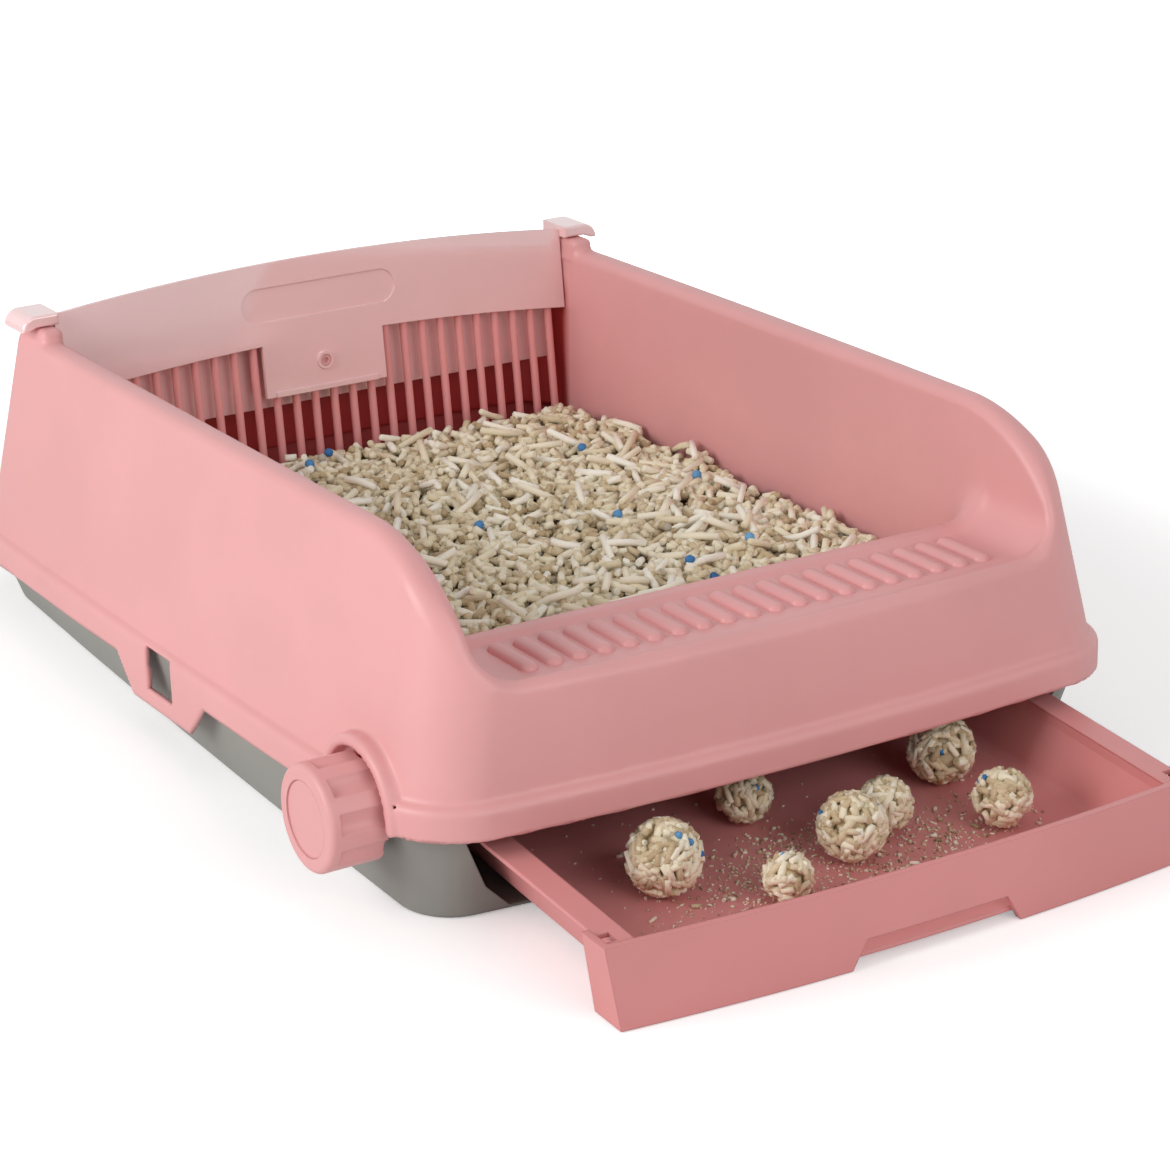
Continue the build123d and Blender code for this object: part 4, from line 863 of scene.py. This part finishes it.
# ---------------------------------------------------------------- clumps in the drawer
TRAY_FRONT, TRAY_FOOT, TRAY_WALL, TRAY_FALL = -378.0, 5.0, 2.5, math.radians(2.3)
CLUMPS = (                                      # x, y, radius
    (-90.0, -297.0, 20.0), (-14.0, -254.0, 15.0), (-41.0, -332.0, 13.2), (11.0, -313.0, 18.5),
    (43.0, -297.0, 15.0), (101.0, -267.0, 18.5), (99.0, -321.0, 16.0),
)
CLUMP_LIFT, CORE_TONE = 0.3, 0.16
LAYERS = ((3.6, 1.3), (2.0, 1.8))               # depth under the clump's radius, and covering
CLUMP_LENGTHS, CLUMP_RADII, CLUMP_TONES = (6.0, 13.0), (0.75, 0.95), (0.12, 0.62)
PELLET_AREA = 11.0 * 2 * PELLET_RADIUS          # what one pellet of a clump covers
CLUMP_SINK = 0.4                                # of a straight pellet's rise over the round layer
BEAD_EVERY, BEAD_DEPTH, SMALL_BEAD, BEAD_TONES = 4.5, 2.1, 2.0, (0.3, 0.7)


def tray_floor(y):
    """Height of the floor inside the tray."""
    return TRAY_FOOT + TRAY_WALL / math.cos(TRAY_FALL) + (y - TRAY_FRONT) * math.tan(TRAY_FALL)


def unit(vector):
    return vector / np.linalg.norm(vector)


def clump(pile, x, y, radius):
    """Ball of pellets that stick together, with a few blue beads on it."""
    centre = np.array([x, y, tray_floor(y) + radius + CLUMP_LIFT])
    pile.add(lump(centre, radius - LAYERS[0][0]), CORE_TONE, ROD)
    for depth, covering in LAYERS:
        layer = radius - depth
        for k in range(int(covering * 4 * math.pi * layer ** 2 / PELLET_AREA)):
            out = unit(rng.normal(size=3))
            along = unit(np.cross(out, rng.normal(size=3)))
            length = rng.uniform(*CLUMP_LENGTHS)
            middle = centre + out * (layer - length ** 2 / (8 * layer) * CLUMP_SINK)
            ends = middle - along * length / 2, middle + along * length / 2
            shape = rod(*ends, PELLET_RADIUS * rng.uniform(*CLUMP_RADII))
            pile.add(shape, rng.uniform(*CLUMP_TONES), ROD)
    for k in range(int(radius / BEAD_EVERY) + 1):
        out = rng.normal(size=3)
        out[2] = abs(out[2])
        shape = lump(centre + unit(out) * (radius - BEAD_DEPTH), SMALL_BEAD)
        pile.add(shape, rng.uniform(*BEAD_TONES), BALL)


pile = Pile()
for place in CLUMPS:
    clump(pile, *place)
clumps = pile.build("clumps", (PELLET, GRANULE, BEAD), world=False)
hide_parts("waste_clumps")
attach(clumps, "drawer")

CRUMB_PATCHES = (            # x, y, spread, count: dust and crumbs that fell off the clumps
    (-45.0, -312.0, 26.0, 520), (20.0, -338.0, 16.0, 260), (60.0, -318.0, 24.0, 420),
    (-10.0, -285.0, 20.0, 220), (-110.0, -335.0, 14.0, 60), (120.0, -300.0, 22.0, 130),
    (0.0, -300.0, 80.0, 240),
)
CRUMB_HALF, CRUMB_FRONT, CRUMB_BACK = 128, -368, -150       # none lies outside these
CRUMB_SIZES, BIG_CRUMB, BIG_SHARE, CRUMB_TONES = (0.3, 1.1), 1.8, 0.08, (0.0, 0.75)
PATCH_DEPTH = 0.55                              # a patch's spread in y, as a share of that in x
CRUMB_LIFT, CRUMB_LENGTH, CRUMB_RADIUS = 0.45, 1.1, 0.55    # by a crumb's size
CRUMB_RAGGED, CRUMB_LEAST, CRUMB_SHORTEST = 0.3, 0.3, 0.4


def crumbs():
    """Scattered bits of pellets on the tray's floor."""
    pile = Pile()
    for cx, cy, spread, count in CRUMB_PATCHES:
        for k in range(count):
            x, y = cx + rng.normal(0, spread), cy + rng.normal(0, spread * PATCH_DEPTH)
            if abs(x) > CRUMB_HALF or not CRUMB_FRONT < y < CRUMB_BACK:
                continue
            size = rng.uniform(*CRUMB_SIZES) * (BIG_CRUMB if rng.uniform() < BIG_SHARE else 1.0)
            base = np.array([x, y, tray_floor(y) + size * CRUMB_LIFT])
            tip = base + np.array([*rng.normal(0, size * CRUMB_LENGTH, 2), 0.0])
            if np.linalg.norm(tip - base) < CRUMB_LEAST:
                tip = base + np.array([CRUMB_SHORTEST, 0.0, 0.0])
            shape = rod(base, tip, size * CRUMB_RADIUS, CRUMB_RAGGED)
            pile.add(shape, rng.uniform(*CRUMB_TONES), ROD)
    return pile


dust = crumbs().build("crumbs", (PELLET,), world=False)
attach(dust, "drawer")

# ---------------------------------------------------------------- strips under the tray's flanges
FLANGE_UNDER, FLANGE_AT = 40.55, -340.0         # underside of the flanges, and the y where it is so
LEDGE_ENDS = (-380.0, -127.0)
LEDGE_NEAR, LEDGE_FAR, LEDGE_LOW, LEDGE_HIGH = 158.05, 161.0, -5.0, 0.8


def ledges():
    """Two bars that close the tray's side walls up to its flanges."""
    section = (
        (LEDGE_NEAR, LEDGE_LOW), (LEDGE_FAR, LEDGE_LOW),
        (LEDGE_FAR, LEDGE_HIGH), (LEDGE_NEAR, LEDGE_HIGH),
    )
    around = [(k, k + 4, (k + 1) % 4 + 4, (k + 1) % 4) for k in range(4)]
    points, faces = [], []
    for side in (-1, 1):
        start = len(points)
        for y in LEDGE_ENDS:
            under = FLANGE_UNDER + (y - FLANGE_AT) * math.tan(TRAY_FALL)
            points += [(side * x, y, under + dz) for x, dz in section]
        for quad in [(0, 1, 2, 3), (7, 6, 5, 4)] + around:
            faces.append(tuple(start + k for k in quad[::side]))
    return mesh_object("tray_ledges", np.array(points) * MM, faces, smooth=False)


tray_ledges = ledges()
tray_ledges.data.materials.append(DRAWER)
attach(tray_ledges, "drawer")

# ---------------------------------------------------------------- stage, light and camera
WHITE = (1.0, 1.0, 1.0)
FLOOR_HALF, FLOOR_GREY = 6.0, 0.9
GLOW_FROM, GLOW_FULL, GLOW_LEAST = 0.36, 0.80, 0.34         # metres from the middle; least share
SKY_STRENGTH, PAPER_STRENGTH = 0.46, 1.0

corners = [(sx * FLOOR_HALF, sy * FLOOR_HALF, 0) for sx, sy in ((-1, -1), (1, -1), (1, 1), (-1, 1))]
floor = mesh_object("floor", corners, [(0, 1, 2, 3)], smooth=False)
pale = Shader("floor_paper")
pale.set("Base Color", (FLOOR_GREY, FLOOR_GREY, FLOOR_GREY, 1))
pale.set("Roughness", 0.9)
pale.set("Emission Color", (*WHITE, 1))
seen = pale.nodes.new("ShaderNodeLightPath").outputs["Is Camera Ray"]
far = pale.nodes.new("ShaderNodeVectorMath")
far.operation = "LENGTH"
pale.links.new(pale.place, far.inputs[0])
fade = pale.nodes.new("ShaderNodeMapRange")
fade.interpolation_type = "SMOOTHSTEP"
fade.inputs["From Min"].default_value = GLOW_FROM
fade.inputs["From Max"].default_value = GLOW_FULL
fade.inputs["To Min"].default_value = GLOW_LEAST
fade.inputs["To Max"].default_value = 1.0
pale.links.new(far.outputs["Value"], fade.inputs["Value"])
pale.link(pale.combine("MULTIPLY", seen, fade.outputs["Result"]), "Emission Strength")
floor.data.materials.append(pale.material)

scene = bpy.context.scene
scene.view_settings.view_transform = "Standard"
world = bpy.data.worlds.new("studio")
scene.world = world
world.use_nodes = True
sky = world.node_tree
dim = sky.nodes["Background"]                   # what lights the object
dim.inputs["Color"].default_value = (*WHITE, 1)
dim.inputs["Strength"].default_value = SKY_STRENGTH
paper = sky.nodes.new("ShaderNodeBackground")   # what the camera and the reflections see
paper.inputs["Color"].default_value = (*WHITE, 1)
paper.inputs["Strength"].default_value = PAPER_STRENGTH
path = sky.nodes.new("ShaderNodeLightPath")
either = sky.nodes.new("ShaderNodeMath")
either.operation = "MAXIMUM"
sky.links.new(path.outputs["Is Camera Ray"], either.inputs[0])
sky.links.new(path.outputs["Is Glossy Ray"], either.inputs[1])
blend = sky.nodes.new("ShaderNodeMixShader")
sky.links.new(either.outputs[0], blend.inputs["Fac"])
sky.links.new(dim.outputs[0], blend.inputs[1])
sky.links.new(paper.outputs[0], blend.inputs[2])
sky.links.new(blend.outputs[0], sky.nodes["World Output"].inputs["Surface"])


LAMPS_AIM = Vector((0, 0, 0.1))


def panel_light(name, place, size, power):
    """White rectangular lamp that points at the object."""
    data = bpy.data.lights.new(name, "AREA")
    data.shape = "RECTANGLE"
    data.size, data.size_y = size
    data.energy = power
    lamp = bpy.data.objects.new(name, data)
    lamp.location = place
    lamp.rotation_mode = "QUATERNION"
    lamp.rotation_quaternion = (LAMPS_AIM - Vector(place)).to_track_quat("-Z", "Y")
    scene.collection.objects.link(lamp)


panel_light("key", place=(-2.35, 0.05, 1.15), size=(1.5, 1.3), power=36)
panel_light("front_fill", place=(0.3, -2.6, 1.4), size=(1.8, 1.2), power=18)

AZIMUTH, ELEVATION, ROLL = math.radians(-31.82), math.radians(22.21), math.radians(0.27)
DISTANCE, LENS, SENSOR = 1.9478, 104.56, 36.0
TARGET = Vector((0.04823, 0.0, 0.04085))
camera_data = bpy.data.cameras.new("camera")
camera_data.lens = LENS
camera_data.sensor_width = SENSOR
camera = bpy.data.objects.new("camera", camera_data)
level = math.cos(ELEVATION)
back = Vector((math.sin(AZIMUTH) * level, -math.cos(AZIMUTH) * level, math.sin(ELEVATION)))
camera.location = TARGET + back * DISTANCE
camera.rotation_mode = "QUATERNION"
camera.rotation_quaternion = (-back).to_track_quat("-Z", "Y") @ Quaternion((0, 0, 1), ROLL)
scene.collection.objects.link(camera)
scene.camera = camera
